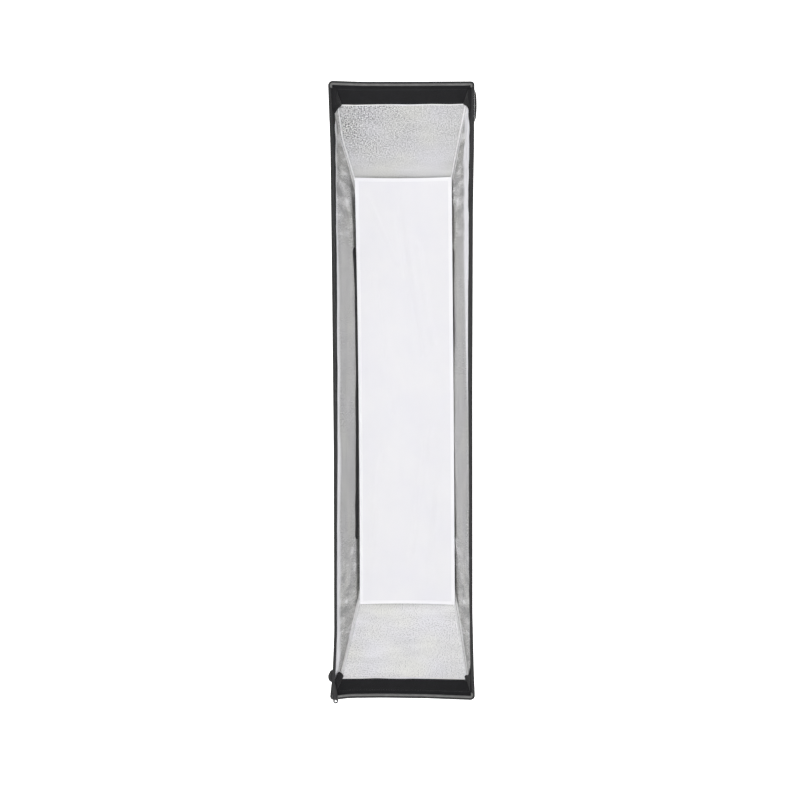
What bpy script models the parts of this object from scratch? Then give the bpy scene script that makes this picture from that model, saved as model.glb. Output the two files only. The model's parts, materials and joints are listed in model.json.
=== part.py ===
"""Strip softbox with a quick-fold frame: a tall fabric box on four hinged rods round a speedring.

+Z is the long axis, up. The open front faces -Y and the lamp is behind, at +Y. The origin is the
centre of the bayonet adapter's rear seating face. In the comments, "forward" is the distance s from
the line of the rod hinges towards the front, so that y = HINGE_Y - s.
"""
import math

import bmesh
import bpy
from mathutils import Matrix, Vector

MM = 0.001
GAP = 0.4 * MM                    # between neighbouring pieces

# Fabric box: the corner seam is a quadratic curve in (forward, height), the sides slope evenly.
SEAM_START = (-8.5 * MM, 69.1 * MM)
SEAM_BEND = (152 * MM, 500 * MM)
SEAM_END = (430 * MM, 758 * MM)
HALF_WIDTH_REAR = 60 * MM
HALF_WIDTH_FRONT = 172.5 * MM
WALL_THICKNESS = 1.0 * MM
WALL_START_FORWARD = -1.8 * MM
WALL_END_FORWARD = 421.5 * MM
WALL_STATIONS = 13

# Front edge
RIM_HALF_WIDTH = 179 * MM
RIM_HALF_HEIGHT = 764 * MM
RIM_BAND_TOP = 10 * MM
RIM_BAND_SIDE = 9 * MM
RIM_DEPTH = 10 * MM
RIM_BACK_FORWARD = 422 * MM
RIM_CORNER_RADIUS = 8 * MM
LIP_THICKNESS = 1.2 * MM
LIP_START_FORWARD = 386 * MM
SIDE_LIP_WIDTH = 19 * MM
SIDE_LIP_HALF_LENGTH = 688 * MM
POCKET_START_FORWARD = 372 * MM
POCKET_LEG = 22 * MM
POCKET_WALL = 1.3 * MM

# Corner rods
HINGE_X = 48 * MM
HINGE_Z = 66 * MM
ROD_RADIUS = 2.5 * MM
ROD_POINTS = 16
ROD_START = 0.012                 # curve parameter where the rod enters its socket
ROD_END = 0.932                   # and where it ends, inside the tip
ROD_INSET_REAR = 9 * MM           # from the top wall, measured square to it
ROD_INSET_FRONT = 5.4 * MM
ROD_SIDE_INSET_REAR = 11.6 * MM   # from the side wall
ROD_SIDE_INSET_FRONT = 5.4 * MM
TIP_RADIUS = 3.2 * MM
TIP_LENGTH = 15 * MM
TIP_BORE_DEPTH = 8 * MM

# Hinges
HINGE_Y = -34.5 * MM
PIN_RADIUS = 2.5 * MM
PIN_BORE_RADIUS = 2.6 * MM
EAR_BORE_RADIUS = 2.9 * MM
BARREL_RADIUS = 5.4 * MM
BARREL_HALF = 4.9 * MM
SLOT_HALF = 5.3 * MM
EAR_THICKNESS = 2.5 * MM
BRACKET_HALF_HEIGHT = 5.5 * MM
BASE_THICKNESS = 2.0 * MM
SOCKET_RADIUS = 4.1 * MM
SOCKET_LENGTH = 30 * MM
SOCKET_BORE_RADIUS = 2.9 * MM
HEEL_HEIGHT = 5.0 * MM

# Speedring and bayonet adapter, turned about Y
SEAT_RADIUS = 72.5 * MM
SEAT_THICKNESS = 5 * MM
HUB_RADIUS = 58 * MM
BORE_RADIUS = 44 * MM
HUB_FRONT_Y = -27 * MM
NECK_RADIUS = 48.5 * MM
NECK_HEIGHT = 9 * MM
LUG_RADIUS = 54.5 * MM
LUG_THICKNESS = 3 * MM
LUG_ARC = math.radians(34)
RING_INNER_RADIUS = 58.4 * MM
RING_OUTER_RADIUS = 92 * MM
RING_REAR_Y = -5.5 * MM
RING_FRONT_Y = -26.5 * MM
RING_WALL = 4 * MM
RETAINER_RADIUS = 66 * MM
RETAINER_THICKNESS = 3.2 * MM
RETAINER_Y = -27.3 * MM
SCREW_CIRCLE = 51.5 * MM
SCREW_RADIUS = 1.5 * MM
SCREW_HOLE_RADIUS = 1.85 * MM
SCREW_HEAD_RADIUS = 2.9 * MM
SCREW_HEAD_HEIGHT = 2.0 * MM
SCREW_LENGTH = 8 * MM

# Rotation lock, on the +X side
LOCK_Y = -15 * MM
PAD_RADIUS = 3.8 * MM
PAD_HOLE_RADIUS = 4.2 * MM
PAD_LENGTH = 3.7 * MM
LOCK_SCREW_RADIUS = 2.9 * MM
LOCK_HOLE_RADIUS = 3.2 * MM
LOCK_SCREW_END = 106 * MM
KNOB_START = 97 * MM
KNOB_LENGTH = 15 * MM
KNOB_RADIUS = 13 * MM
KNOB_LOBES = 8
KNOB_LOBE_DEPTH = 1.2 * MM
KNOB_OUTLINE_POINTS = 48

# Rear collar: a fabric cap round the ring
COLLAR_RADIUS = 92.6 * MM
COLLAR_INNER_RADIUS = 68 * MM
COLLAR_THICKNESS = 1.2 * MM
COLLAR_REAR_FORWARD = -27 * MM
COLLAR_FRONT_FORWARD = -3.4 * MM
COLLAR_HOLE_HALF = (58.5 * MM, 77 * MM)

# Inner baffle and what holds it
BAFFLE_FORWARD = 252 * MM
BAFFLE_THICKNESS = 1.0 * MM
BAFFLE_HALF = (117 * MM, 541 * MM)
STRAP_FORWARD = 238 * MM
STRAP_BAND_RADII = (2.95 * MM, 3.9 * MM)
STRAP_BAND_LENGTH = 9 * MM
STRAP_TAB_HALF_WIDTH = 3 * MM
TAPE_Z = (-385 * MM, 370 * MM)
TAPE_FORWARD = {"left": (243 * MM, 267 * MM), "right": (227 * MM, 250 * MM)}
TAPE_THICKNESS = 1.2 * MM

# Loose tabs at two of the front corners
FLAP_THICKNESS = 2.0 * MM
FLAP_FORWARD = (405 * MM, 429 * MM)
FLAP_Z = {"flap_bottom_left": (-720 * MM, -692 * MM), "flap_top_right": (668 * MM, 742 * MM)}
LOOP_CENTRE = (-166 * MM, -771 * MM)
LOOP_RADIUS = 6.3 * MM
LOOP_HOLE_RADIUS = 4.2 * MM
LOOP_HALF_THICKNESS = 1.0 * MM
LOOP_FORWARD = 426 * MM
EYELET_RADII = (2.5 * MM, 3.9 * MM)
EYELET_HALF_HEIGHT = 1.5 * MM

CORNERS = {
    "top_left": (-1, 1),
    "top_right": (1, 1),
    "bottom_left": (-1, -1),
    "bottom_right": (1, -1),
}
TURNED_STEPS = 48
ROUND_VERTICES = 28
SMOOTH_ANGLE = math.radians(35)

for old in list(bpy.data.objects):
    bpy.data.objects.remove(old, do_unlink=True)

part_collection = bpy.data.collections.new("strip_softbox")
cutter_collection = bpy.data.collections.new("cutters")
for collection in (part_collection, cutter_collection):
    bpy.context.scene.collection.children.link(collection)


# ---------------------------------------------------------------- materials and objects

def make_material(name, colour, roughness, metallic=0.0):
    material = bpy.data.materials.new(name)
    material.use_nodes = True
    shader = material.node_tree.nodes["Principled BSDF"]
    shader.inputs["Base Color"].default_value = (*colour, 1.0)
    shader.inputs["Roughness"].default_value = roughness
    shader.inputs["Metallic"].default_value = metallic
    material.diffuse_color = (*colour, 1.0)
    return material


LOOKS = {
    "anodised": ((0.55, 0.56, 0.58), 0.35, 0.9),
    "cast_black": ((0.03, 0.03, 0.035), 0.5, 0.4),
    "steel": ((0.62, 0.62, 0.6), 0.3, 1.0),
    "black_plastic": ((0.02, 0.02, 0.022), 0.45, 0.0),
    "silver_fabric": ((0.62, 0.62, 0.61), 0.4, 0.3),
    "loop_tape": ((0.02, 0.02, 0.022), 0.95, 0.0),
    "binding": ((0.07, 0.07, 0.07), 0.7, 0.0),
    "black_fabric": ((0.03, 0.03, 0.032), 0.8, 0.0),
    "white_fabric": ((0.87, 0.87, 0.9), 0.8, 0.0),
}


def add_object(name, mesh, look, smooth=False):
    """A new part with a material of its own, or with look None a cutter that isn't rendered."""
    obj = bpy.data.objects.new(name, mesh)
    if look is None:
        cutter_collection.objects.link(obj)
        obj.hide_render = True
        obj.display_type = "WIRE"
        return obj
    part_collection.objects.link(obj)
    mesh.materials.append(make_material(name, *LOOKS[look]))
    if smooth:
        mesh.shade_smooth()
        mesh.set_sharp_from_angle(angle=SMOOTH_ANGLE)
    return obj


def mesh_from_bmesh(name, bm):
    bmesh.ops.recalc_face_normals(bm, faces=bm.faces)
    mesh = bpy.data.meshes.new(name)
    bm.to_mesh(mesh)
    bm.free()
    return mesh


def add_box(name, low, high, look=None):
    bm = bmesh.new()
    bmesh.ops.create_cube(bm, size=1.0)
    low, high = Vector(low), Vector(high)
    bmesh.ops.scale(bm, vec=high - low, verts=bm.verts)
    bmesh.ops.translate(bm, vec=(low + high) / 2, verts=bm.verts)
    return add_object(name, mesh_from_bmesh(name, bm), look)


def add_rod(name, start, end, radius, look=None, vertices=ROUND_VERTICES):
    """A straight cylinder between two points."""
    start, end = Vector(start), Vector(end)
    bm = bmesh.new()
    bmesh.ops.create_cone(bm, cap_ends=True, segments=vertices, radius1=radius, radius2=radius,
                          depth=(end - start).length)
    turn = (end - start).to_track_quat("Z", "Y").to_matrix().to_4x4()
    bmesh.ops.transform(bm, matrix=Matrix.Translation((start + end) / 2) @ turn, verts=bm.verts)
    return add_object(name, mesh_from_bmesh(name, bm), look, smooth=True)


def add_turned(name, profile, look, matrix, steps=TURNED_STEPS):
    """A closed profile of (radius, height), down its outer side first, turned about local Z."""
    mesh = bpy.data.meshes.new(name)
    count = len(profile)
    edges = [(i, (i + 1) % count) for i in range(count)]
    mesh.from_pydata([(radius, 0, height) for radius, height in profile], edges, [])
    obj = add_object(name, mesh, look)
    screw = obj.modifiers.new("turn", "SCREW")
    screw.steps = screw.render_steps = steps
    screw.use_merge_vertices = True
    screw.merge_threshold = 0.00001
    screw.use_smooth_shade = False
    obj.matrix_world = matrix
    return obj


def add_outline(name, points, half_thickness, look, matrix):
    """A flat outline in local XY, extruded both ways along local Z."""
    curve = bpy.data.curves.new(name, "CURVE")
    curve.dimensions = "2D"
    curve.fill_mode = "BOTH"
    curve.extrude = half_thickness
    spline = curve.splines.new("POLY")
    spline.points.add(len(points) - 1)
    for point, (x, y) in zip(spline.points, points):
        point.co = (x, y, 0, 1)
    spline.use_cyclic_u = True
    guide = bpy.data.objects.new(name + "_outline", curve)
    cutter_collection.objects.link(guide)
    bpy.context.view_layer.update()
    evaluated = guide.evaluated_get(bpy.context.evaluated_depsgraph_get())
    bm = bmesh.new()
    bm.from_mesh(bpy.data.meshes.new_from_object(evaluated))
    bpy.data.objects.remove(guide, do_unlink=True)
    bmesh.ops.remove_doubles(bm, verts=bm.verts, dist=0.00001)
    bmesh.ops.transform(bm, matrix=matrix, verts=bm.verts)
    return add_object(name, mesh_from_bmesh(name, bm), look)


def cut(obj, cutter, operation="DIFFERENCE"):
    modifier = obj.modifiers.new(cutter.name, "BOOLEAN")
    modifier.object = cutter
    modifier.operation = operation
    modifier.solver = "EXACT"


def thicken(obj, thickness):
    """Solidify towards the side that the faces point to."""
    solidify = obj.modifiers.new("thickness", "SOLIDIFY")
    solidify.thickness = thickness
    solidify.offset = 1.0
    solidify.use_even_offset = True


def add_sheet(name, rows, thickness, towards, look):
    """An open grid of rows of points, made solid by a thickness towards a direction."""
    bm = bmesh.new()
    grid = [[bm.verts.new(point) for point in row] for row in rows]
    for row, following in zip(grid, grid[1:]):
        for a, b, c, d in zip(row, row[1:], following[1:], following):
            bm.faces.new((a, b, c, d))
    bm.normal_update()
    average = sum((face.normal for face in bm.faces), Vector())
    if average.dot(Vector(towards)) < 0:
        bmesh.ops.reverse_faces(bm, faces=bm.faces)
    mesh = bpy.data.meshes.new(name)
    bm.to_mesh(mesh)
    bm.free()
    obj = add_object(name, mesh, look)
    thicken(obj, thickness)
    return obj


def add_loft(name, sections, look):
    """A closed solid through rings of points of equal count."""
    bm = bmesh.new()
    rings = [[bm.verts.new(point) for point in section] for section in sections]
    for ring, following in zip(rings, rings[1:]):
        for i in range(len(ring)):
            j = (i + 1) % len(ring)
            bm.faces.new((ring[i], ring[j], following[j], following[i]))
    bm.faces.new(rings[0])
    bm.faces.new(rings[-1])
    return add_object(name, mesh_from_bmesh(name, bm), look)


def arc_points(centre, radius, start, end, count):
    """Points on an arc, ends included, by angle in degrees."""
    points = []
    for i in range(count):
        angle = math.radians(start + (end - start) * i / (count - 1))
        points.append((centre[0] + radius * math.cos(angle), centre[1] + radius * math.sin(angle)))
    return points


# ---------------------------------------------------------------- the box's own coordinates

def seam(t):
    """Forward distance, height and tangent angle of the corner seam at parameter t."""
    def quadratic(a, b, c):
        value = (1 - t) ** 2 * a + 2 * t * (1 - t) * b + t * t * c
        slope = 2 * (1 - t) * (b - a) + 2 * t * (c - b)
        return value, slope
    forward, forward_slope = quadratic(SEAM_START[0], SEAM_BEND[0], SEAM_END[0])
    height, height_slope = quadratic(SEAM_START[1], SEAM_BEND[1], SEAM_END[1])
    return forward, height, math.atan2(height_slope, forward_slope)


def seam_parameter(forward):
    """The seam's parameter at a forward distance, by bisection."""
    low, high = 0.0, 1.0
    for _ in range(50):
        middle = (low + high) / 2
        if seam(middle)[0] < forward:
            low = middle
        else:
            high = middle
    return low


SIDE_SLOPE = (HALF_WIDTH_FRONT - HALF_WIDTH_REAR) / SEAM_END[0]
SIDE_STRETCH = math.sqrt(1 + SIDE_SLOPE ** 2)


def half_width(forward):
    return HALF_WIDTH_REAR + SIDE_SLOPE * forward


def box_point(t, from_side, from_top, sign_x=1, sign_z=1):
    """A point near a corner seam, by its distances inwards from the side and the top wall."""
    forward, height, angle = seam(t)
    forward += from_top * math.sin(angle)
    height -= from_top * math.cos(angle)
    width = half_width(forward) - from_side * SIDE_STRETCH
    return Vector((sign_x * width, HINGE_Y - forward, sign_z * height))


def side_point(forward, height, from_side, sign_x):
    width = half_width(forward) - from_side * SIDE_STRETCH
    return Vector((sign_x * width, HINGE_Y - forward, height))


def rod_point(t, sign_x, sign_z):
    from_top = ROD_INSET_REAR + (ROD_INSET_FRONT - ROD_INSET_REAR) * t
    from_side = ROD_SIDE_INSET_REAR + (ROD_SIDE_INSET_FRONT - ROD_SIDE_INSET_REAR) * t
    return box_point(t, from_side, from_top, sign_x, sign_z)


def stations(start_forward, end_forward, count):
    low, high = seam_parameter(start_forward), seam_parameter(end_forward)
    return [low + (high - low) * i / (count - 1) for i in range(count)]


# Local Z to world +Y, for what is turned about the lamp axis
LAMP_AXIS = Matrix.Rotation(math.radians(-90), 4, "X")


# ---------------------------------------------------------------- bayonet adapter and speedring

def build_adapter():
    profile = [
        (NECK_RADIUS, NECK_HEIGHT), (NECK_RADIUS, 0), (SEAT_RADIUS, 0),
        (SEAT_RADIUS, -SEAT_THICKNESS), (HUB_RADIUS, -SEAT_THICKNESS),
        (HUB_RADIUS, HUB_FRONT_Y), (BORE_RADIUS, HUB_FRONT_Y), (BORE_RADIUS, NECK_HEIGHT),
    ]
    adapter = add_turned("bayonet_adapter", profile, "anodised", LAMP_AXIS)
    for number in range(3):
        middle = math.degrees(number * 2 * math.pi / 3 + math.pi / 2)
        half = math.degrees(LUG_ARC) / 2
        outline = arc_points((0, 0), LUG_RADIUS, middle - half, middle + half, 7)
        outline += arc_points((0, 0), NECK_RADIUS - 1.5 * MM, middle + half, middle - half, 7)
        lift = NECK_HEIGHT - 0.4 * MM - LUG_THICKNESS / 2
        lug = add_outline(f"lug_{number + 1}", outline, LUG_THICKNESS / 2, None,
                          LAMP_AXIS @ Matrix.Translation((0, 0, lift)))
        cut(adapter, lug, "UNION")
    return adapter


def build_speedring():
    outer, inner = RING_OUTER_RADIUS, RING_INNER_RADIUS
    web_y = RING_FRONT_Y + RING_WALL
    profile = [
        (outer, RING_REAR_Y), (outer, RING_FRONT_Y), (inner, RING_FRONT_Y), (inner, RING_REAR_Y),
        (inner + RING_WALL, RING_REAR_Y), (inner + RING_WALL, web_y),
        (outer - RING_WALL, web_y), (outer - RING_WALL, RING_REAR_Y),
    ]
    ring = add_turned("speedring_body", profile, "cast_black", LAMP_AXIS)
    middle_radius = (outer + inner) / 2
    pad_hole = add_rod("pad_hole", (inner - 2 * MM, LOCK_Y, 0), (middle_radius, LOCK_Y, 0),
                       PAD_HOLE_RADIUS)
    screw_hole = add_rod("lock_screw_hole", (middle_radius, LOCK_Y, 0),
                         (outer + 2 * MM, LOCK_Y, 0), LOCK_HOLE_RADIUS)
    cut(ring, pad_hole)
    cut(ring, screw_hole)


def build_retainer(adapter):
    profile = [
        (RETAINER_RADIUS, RETAINER_Y), (RETAINER_RADIUS, RETAINER_Y - RETAINER_THICKNESS),
        (BORE_RADIUS + 1 * MM, RETAINER_Y - RETAINER_THICKNESS), (BORE_RADIUS + 1 * MM, RETAINER_Y),
    ]
    retainer = add_turned("retaining_ring", profile, "anodised", LAMP_AXIS)
    head_back = RETAINER_Y - RETAINER_THICKNESS - GAP
    for number in range(4):
        angle = math.radians(90 * number)
        x, z = SCREW_CIRCLE * math.cos(angle), SCREW_CIRCLE * math.sin(angle)
        shank_end = head_back + GAP + RETAINER_THICKNESS + SCREW_LENGTH
        hole = add_rod(f"screw_hole_{number + 1}", (x, head_back - MM, z),
                       (x, shank_end + GAP, z), SCREW_HOLE_RADIUS, vertices=16)
        cut(adapter, hole)
        cut(retainer, hole)
        shank = add_rod(f"screw_shank_{number + 1}", (x, head_back - SCREW_HEAD_HEIGHT / 2, z),
                        (x, shank_end, z), SCREW_RADIUS, vertices=16)
        screw = add_rod(f"retaining_screw_{number + 1}", (x, head_back - SCREW_HEAD_HEIGHT, z),
                        (x, head_back, z), SCREW_HEAD_RADIUS, "steel", vertices=24)
        cut(screw, shank, "UNION")


def build_lock():
    pad_start = HUB_RADIUS + GAP
    pad_end = pad_start + PAD_LENGTH
    add_rod("lock_pad", (pad_start, LOCK_Y, 0), (pad_end, LOCK_Y, 0), PAD_RADIUS,
            "black_plastic")
    add_rod("lock_screw", (pad_end + GAP, LOCK_Y, 0), (LOCK_SCREW_END, LOCK_Y, 0),
            LOCK_SCREW_RADIUS, "steel")
    outline = []
    for i in range(KNOB_OUTLINE_POINTS):
        angle = 2 * math.pi * i / KNOB_OUTLINE_POINTS
        radius = KNOB_RADIUS - KNOB_LOBE_DEPTH * (1 - math.cos(KNOB_LOBES * angle)) / 2
        outline.append((radius * math.cos(angle), radius * math.sin(angle)))
    place = Matrix.Translation((KNOB_START + KNOB_LENGTH / 2, LOCK_Y, 0))
    place = place @ Matrix.Rotation(math.radians(90), 4, "Y")
    knob = add_outline("lock_knob", outline, KNOB_LENGTH / 2, "black_plastic", place)
    bore = add_rod("knob_bore", (KNOB_START - MM, LOCK_Y, 0), (LOCK_SCREW_END + GAP, LOCK_Y, 0),
                   LOCK_HOLE_RADIUS)
    cut(knob, bore)


# ---------------------------------------------------------------- hinges and rods

def build_bracket(corner, sign_x, sign_z):
    """A U of sheet metal: its outline, seen along X, ends in a half circle round the pin."""
    base = BARREL_RADIUS + 0.3 * MM + BASE_THICKNESS
    outline = arc_points((0, 0), BRACKET_HALF_HEIGHT, -90, 90, 13)
    outline += [(-base, BRACKET_HALF_HEIGHT), (-base, -BRACKET_HALF_HEIGHT)]
    # local X is forward (-Y), local Y is up, local Z is along -X
    turn = Matrix(((0, 0, -1, sign_x * HINGE_X), (-1, 0, 0, HINGE_Y), (0, 1, 0, sign_z * HINGE_Z),
                   (0, 0, 0, 1)))
    half = SLOT_HALF + EAR_THICKNESS
    bracket = add_outline(f"rod_bracket_{corner}", outline, half, "steel", turn)
    centre = Vector((sign_x * HINGE_X, HINGE_Y, sign_z * HINGE_Z))
    slot_back = HINGE_Y + BARREL_RADIUS + 0.3 * MM
    slot = add_box(f"slot_{corner}",
                   (centre.x - SLOT_HALF, HINGE_Y - 20 * MM, centre.z - 20 * MM),
                   (centre.x + SLOT_HALF, slot_back, centre.z + 20 * MM))
    reach = Vector((half + 2 * MM, 0, 0))
    hole = add_rod(f"ear_hole_{corner}", centre - reach, centre + reach, EAR_BORE_RADIUS)
    cut(bracket, slot)
    cut(bracket, hole)
    pin_half = Vector((half + GAP + 0.5 * MM, 0, 0))
    pin = add_rod(f"hinge_pin_{corner}", centre - pin_half, centre + pin_half, PIN_RADIUS,
                  "steel")
    for side in (-1, 1):
        inner = centre + Vector((side * (half + GAP), 0, 0))
        outer = inner + Vector((side * 1.2 * MM, 0, 0))
        head = add_rod(f"pin_head_{corner}_{side}", inner, outer, PIN_RADIUS + 1 * MM)
        cut(pin, head, "UNION")


def build_socket(corner, sign_x, sign_z):
    centre = Vector((sign_x * HINGE_X, HINGE_Y, sign_z * HINGE_Z))
    direction = (rod_point(0.03, sign_x, sign_z) - centre).normalized()
    half = Vector((BARREL_HALF, 0, 0))
    socket = add_rod(f"rod_socket_{corner}", centre - half, centre + half, BARREL_RADIUS,
                     "black_plastic")
    tube = add_rod(f"socket_tube_{corner}", centre + direction * MM,
                   centre + direction * SOCKET_LENGTH, SOCKET_RADIUS, vertices=24)
    heel_low, heel_high = sorted((0.0, sign_z * HEEL_HEIGHT))
    heel = add_box(f"heel_{corner}",
                   (centre.x - BARREL_HALF + 0.2 * MM, HINGE_Y, centre.z + heel_low),
                   (centre.x + BARREL_HALF - 0.2 * MM, HINGE_Y + BARREL_RADIUS - 0.1 * MM,
                    centre.z + heel_high))
    bore = add_rod(f"socket_bore_{corner}", centre + direction * 7.5 * MM,
                   centre + direction * (SOCKET_LENGTH + MM), SOCKET_BORE_RADIUS, vertices=24)
    reach = Vector((BARREL_HALF + MM, 0, 0))
    pin_bore = add_rod(f"pin_bore_{corner}", centre - reach, centre + reach, PIN_BORE_RADIUS)
    cut(socket, tube, "UNION")
    cut(socket, heel, "UNION")
    cut(socket, bore)
    cut(socket, pin_bore)


def build_corner_rod(corner, sign_x, sign_z):
    curve = bpy.data.curves.new(f"rod_{corner}", "CURVE")
    curve.dimensions = "3D"
    curve.bevel_depth = ROD_RADIUS
    curve.bevel_resolution = 2
    curve.use_fill_caps = True
    spline = curve.splines.new("POLY")
    spline.points.add(ROD_POINTS - 1)
    for i, point in enumerate(spline.points):
        t = ROD_START + (ROD_END - ROD_START) * i / (ROD_POINTS - 1)
        point.co = (*rod_point(t, sign_x, sign_z), 1)
    rod = bpy.data.objects.new(f"rod_{corner}", curve)
    part_collection.objects.link(rod)
    curve.materials.append(make_material(rod.name, *LOOKS["steel"]))

    end = rod_point(ROD_END, sign_x, sign_z)
    direction = (end - rod_point(ROD_END - 0.01, sign_x, sign_z)).normalized()
    nose = TIP_RADIUS * 0.6
    profile = [(0.0, TIP_LENGTH)]
    profile += [(TIP_RADIUS - nose + nose * math.sin(math.radians(a)),
                 TIP_LENGTH - nose + nose * math.cos(math.radians(a))) for a in (0, 30, 60, 90)]
    profile += [(TIP_RADIUS, 0.0), (ROD_RADIUS + 0.3 * MM, 0.0),
                (ROD_RADIUS + 0.3 * MM, TIP_BORE_DEPTH), (0.0, TIP_BORE_DEPTH)]
    turn = direction.to_track_quat("Z", "Y").to_matrix().to_4x4()
    seat = end - direction * (TIP_BORE_DEPTH - 0.4 * MM)
    tip = add_turned(f"rod_tip_{corner}", profile, "black_plastic",
                     Matrix.Translation(seat) @ turn, steps=20)
    tip.data.shade_smooth()


# ---------------------------------------------------------------- fabric box

def build_end_wall(side, sign_z):
    """The top or bottom wall: one sheet curved along the seam, wider towards the front."""
    rows = []
    for t in stations(WALL_START_FORWARD, WALL_END_FORWARD, WALL_STATIONS):
        rows.append([box_point(t, -WALL_THICKNESS, 0, sign_x, sign_z) for sign_x in (-1, 1)])
    add_sheet(f"wall_{side}", rows, WALL_THICKNESS, (0, 0, sign_z), "silver_fabric")

    rows = []
    for t in stations(LIP_START_FORWARD, WALL_END_FORWARD - MM, 2):
        inset = POCKET_LEG + 2 * GAP
        rows.append([box_point(t, inset, GAP, sign_x, sign_z) for sign_x in (-1, 1)])
    add_sheet(f"lip_{side}", rows, LIP_THICKNESS, (0, 0, -sign_z), "loop_tape")


def build_side_wall(side, sign_x):
    rows = []
    for t in stations(WALL_START_FORWARD, WALL_END_FORWARD, WALL_STATIONS):
        rows.append([box_point(t, 0, 1.5 * GAP, sign_x, sign_z) for sign_z in (-1, 1)])
    add_sheet(f"wall_{side}", rows, WALL_THICKNESS, (sign_x, 0, 0), "silver_fabric")

    front = WALL_END_FORWARD - MM
    rows = [[side_point(forward, sign_z * SIDE_LIP_HALF_LENGTH, GAP, sign_x)
             for sign_z in (-1, 1)] for forward in (front - SIDE_LIP_WIDTH, front)]
    add_sheet(f"lip_{side}", rows, LIP_THICKNESS, (-sign_x, 0, 0), "loop_tape")

    back, ahead = TAPE_FORWARD[side]
    rows = [[side_point(forward, height, GAP, sign_x) for height in TAPE_Z]
            for forward in (back, ahead)]
    add_sheet(f"hook_tape_{side}", rows, TAPE_THICKNESS, (-sign_x, 0, 0), "loop_tape")


def build_rims():
    """A bound welt round the front edge: two long side bars between two corner-rounded ends."""
    front_matrix = Matrix(((1, 0, 0, 0), (0, 0, -1, HINGE_Y - RIM_BACK_FORWARD - RIM_DEPTH / 2),
                           (0, 1, 0, 0), (0, 0, 0, 1)))
    for side, sign_z in (("top", 1), ("bottom", -1)):
        inner = RIM_HALF_HEIGHT - RIM_BAND_TOP
        radius = RIM_CORNER_RADIUS
        middle = (RIM_HALF_WIDTH - radius, RIM_HALF_HEIGHT - radius)
        right = arc_points(middle, radius, 0, 90, 7)
        points = [(RIM_HALF_WIDTH, inner)] + right
        points += [(-x, z) for x, z in reversed(points)]
        outline = [(x, sign_z * z) for x, z in points]
        add_outline(f"rim_{side}", outline, RIM_DEPTH / 2, "binding", front_matrix)
    reach = RIM_HALF_HEIGHT - RIM_BAND_TOP - GAP
    back = HINGE_Y - RIM_BACK_FORWARD
    for side, sign_x in (("left", -1), ("right", 1)):
        low_x, high_x = sorted((sign_x * (RIM_HALF_WIDTH - RIM_BAND_SIDE), sign_x * RIM_HALF_WIDTH))
        add_box(f"rim_{side}", (low_x, back - RIM_DEPTH, -reach), (high_x, back, reach), "binding")


def build_pocket(corner, sign_x, sign_z):
    """A three-sided sleeve in the corner, open behind, that the rod's tip sits in."""
    def sections(start, end, inset, leg, count):
        rings = []
        for t in stations(start, end, count):
            rings.append([box_point(t, inset, inset, sign_x, sign_z),
                          box_point(t, leg, inset, sign_x, sign_z),
                          box_point(t, inset, leg, sign_x, sign_z)])
        return rings
    front = WALL_END_FORWARD - POCKET_LEG * 0.75
    inner_leg = POCKET_LEG - 2.4 * POCKET_WALL
    pocket = add_loft(f"corner_pocket_{corner}",
                      sections(POCKET_START_FORWARD, front, 2 * GAP, POCKET_LEG, 4),
                      "black_fabric")
    hollow = add_loft(f"pocket_hollow_{corner}",
                      sections(POCKET_START_FORWARD - 8 * MM, front - 2 * MM,
                               2 * GAP + POCKET_WALL, inner_leg, 5), None)
    cut(pocket, hollow)


def build_collar():
    """A fabric cap over the speedring: a band round it and a flat front with the rods' opening."""
    outer, band = COLLAR_RADIUS + COLLAR_THICKNESS, COLLAR_RADIUS
    front_y = HINGE_Y - COLLAR_FRONT_FORWARD
    rear_y = HINGE_Y - COLLAR_REAR_FORWARD
    profile = [
        (outer, rear_y), (outer, front_y), (COLLAR_INNER_RADIUS, front_y),
        (COLLAR_INNER_RADIUS, front_y + COLLAR_THICKNESS), (band, front_y + COLLAR_THICKNESS),
        (band, rear_y),
    ]
    collar = add_turned("rear_collar", profile, "black_fabric", LAMP_AXIS)
    half_x, half_z = COLLAR_HOLE_HALF
    opening = add_box("collar_opening", (-half_x, front_y - 5 * MM, -half_z),
                      (half_x, front_y + COLLAR_THICKNESS + 0.2 * MM, half_z))
    slot = add_rod("collar_screw_hole", (band - 4 * MM, LOCK_Y, 0), (outer + 4 * MM, LOCK_Y, 0),
                   LOCK_HOLE_RADIUS + 1 * MM)
    cut(collar, opening)
    cut(collar, slot)


def build_baffle():
    half_x, half_z = BAFFLE_HALF
    middle = HINGE_Y - BAFFLE_FORWARD
    add_box("inner_baffle", (-half_x, middle - BAFFLE_THICKNESS / 2, -half_z),
            (half_x, middle + BAFFLE_THICKNESS / 2, half_z), "white_fabric")


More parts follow.
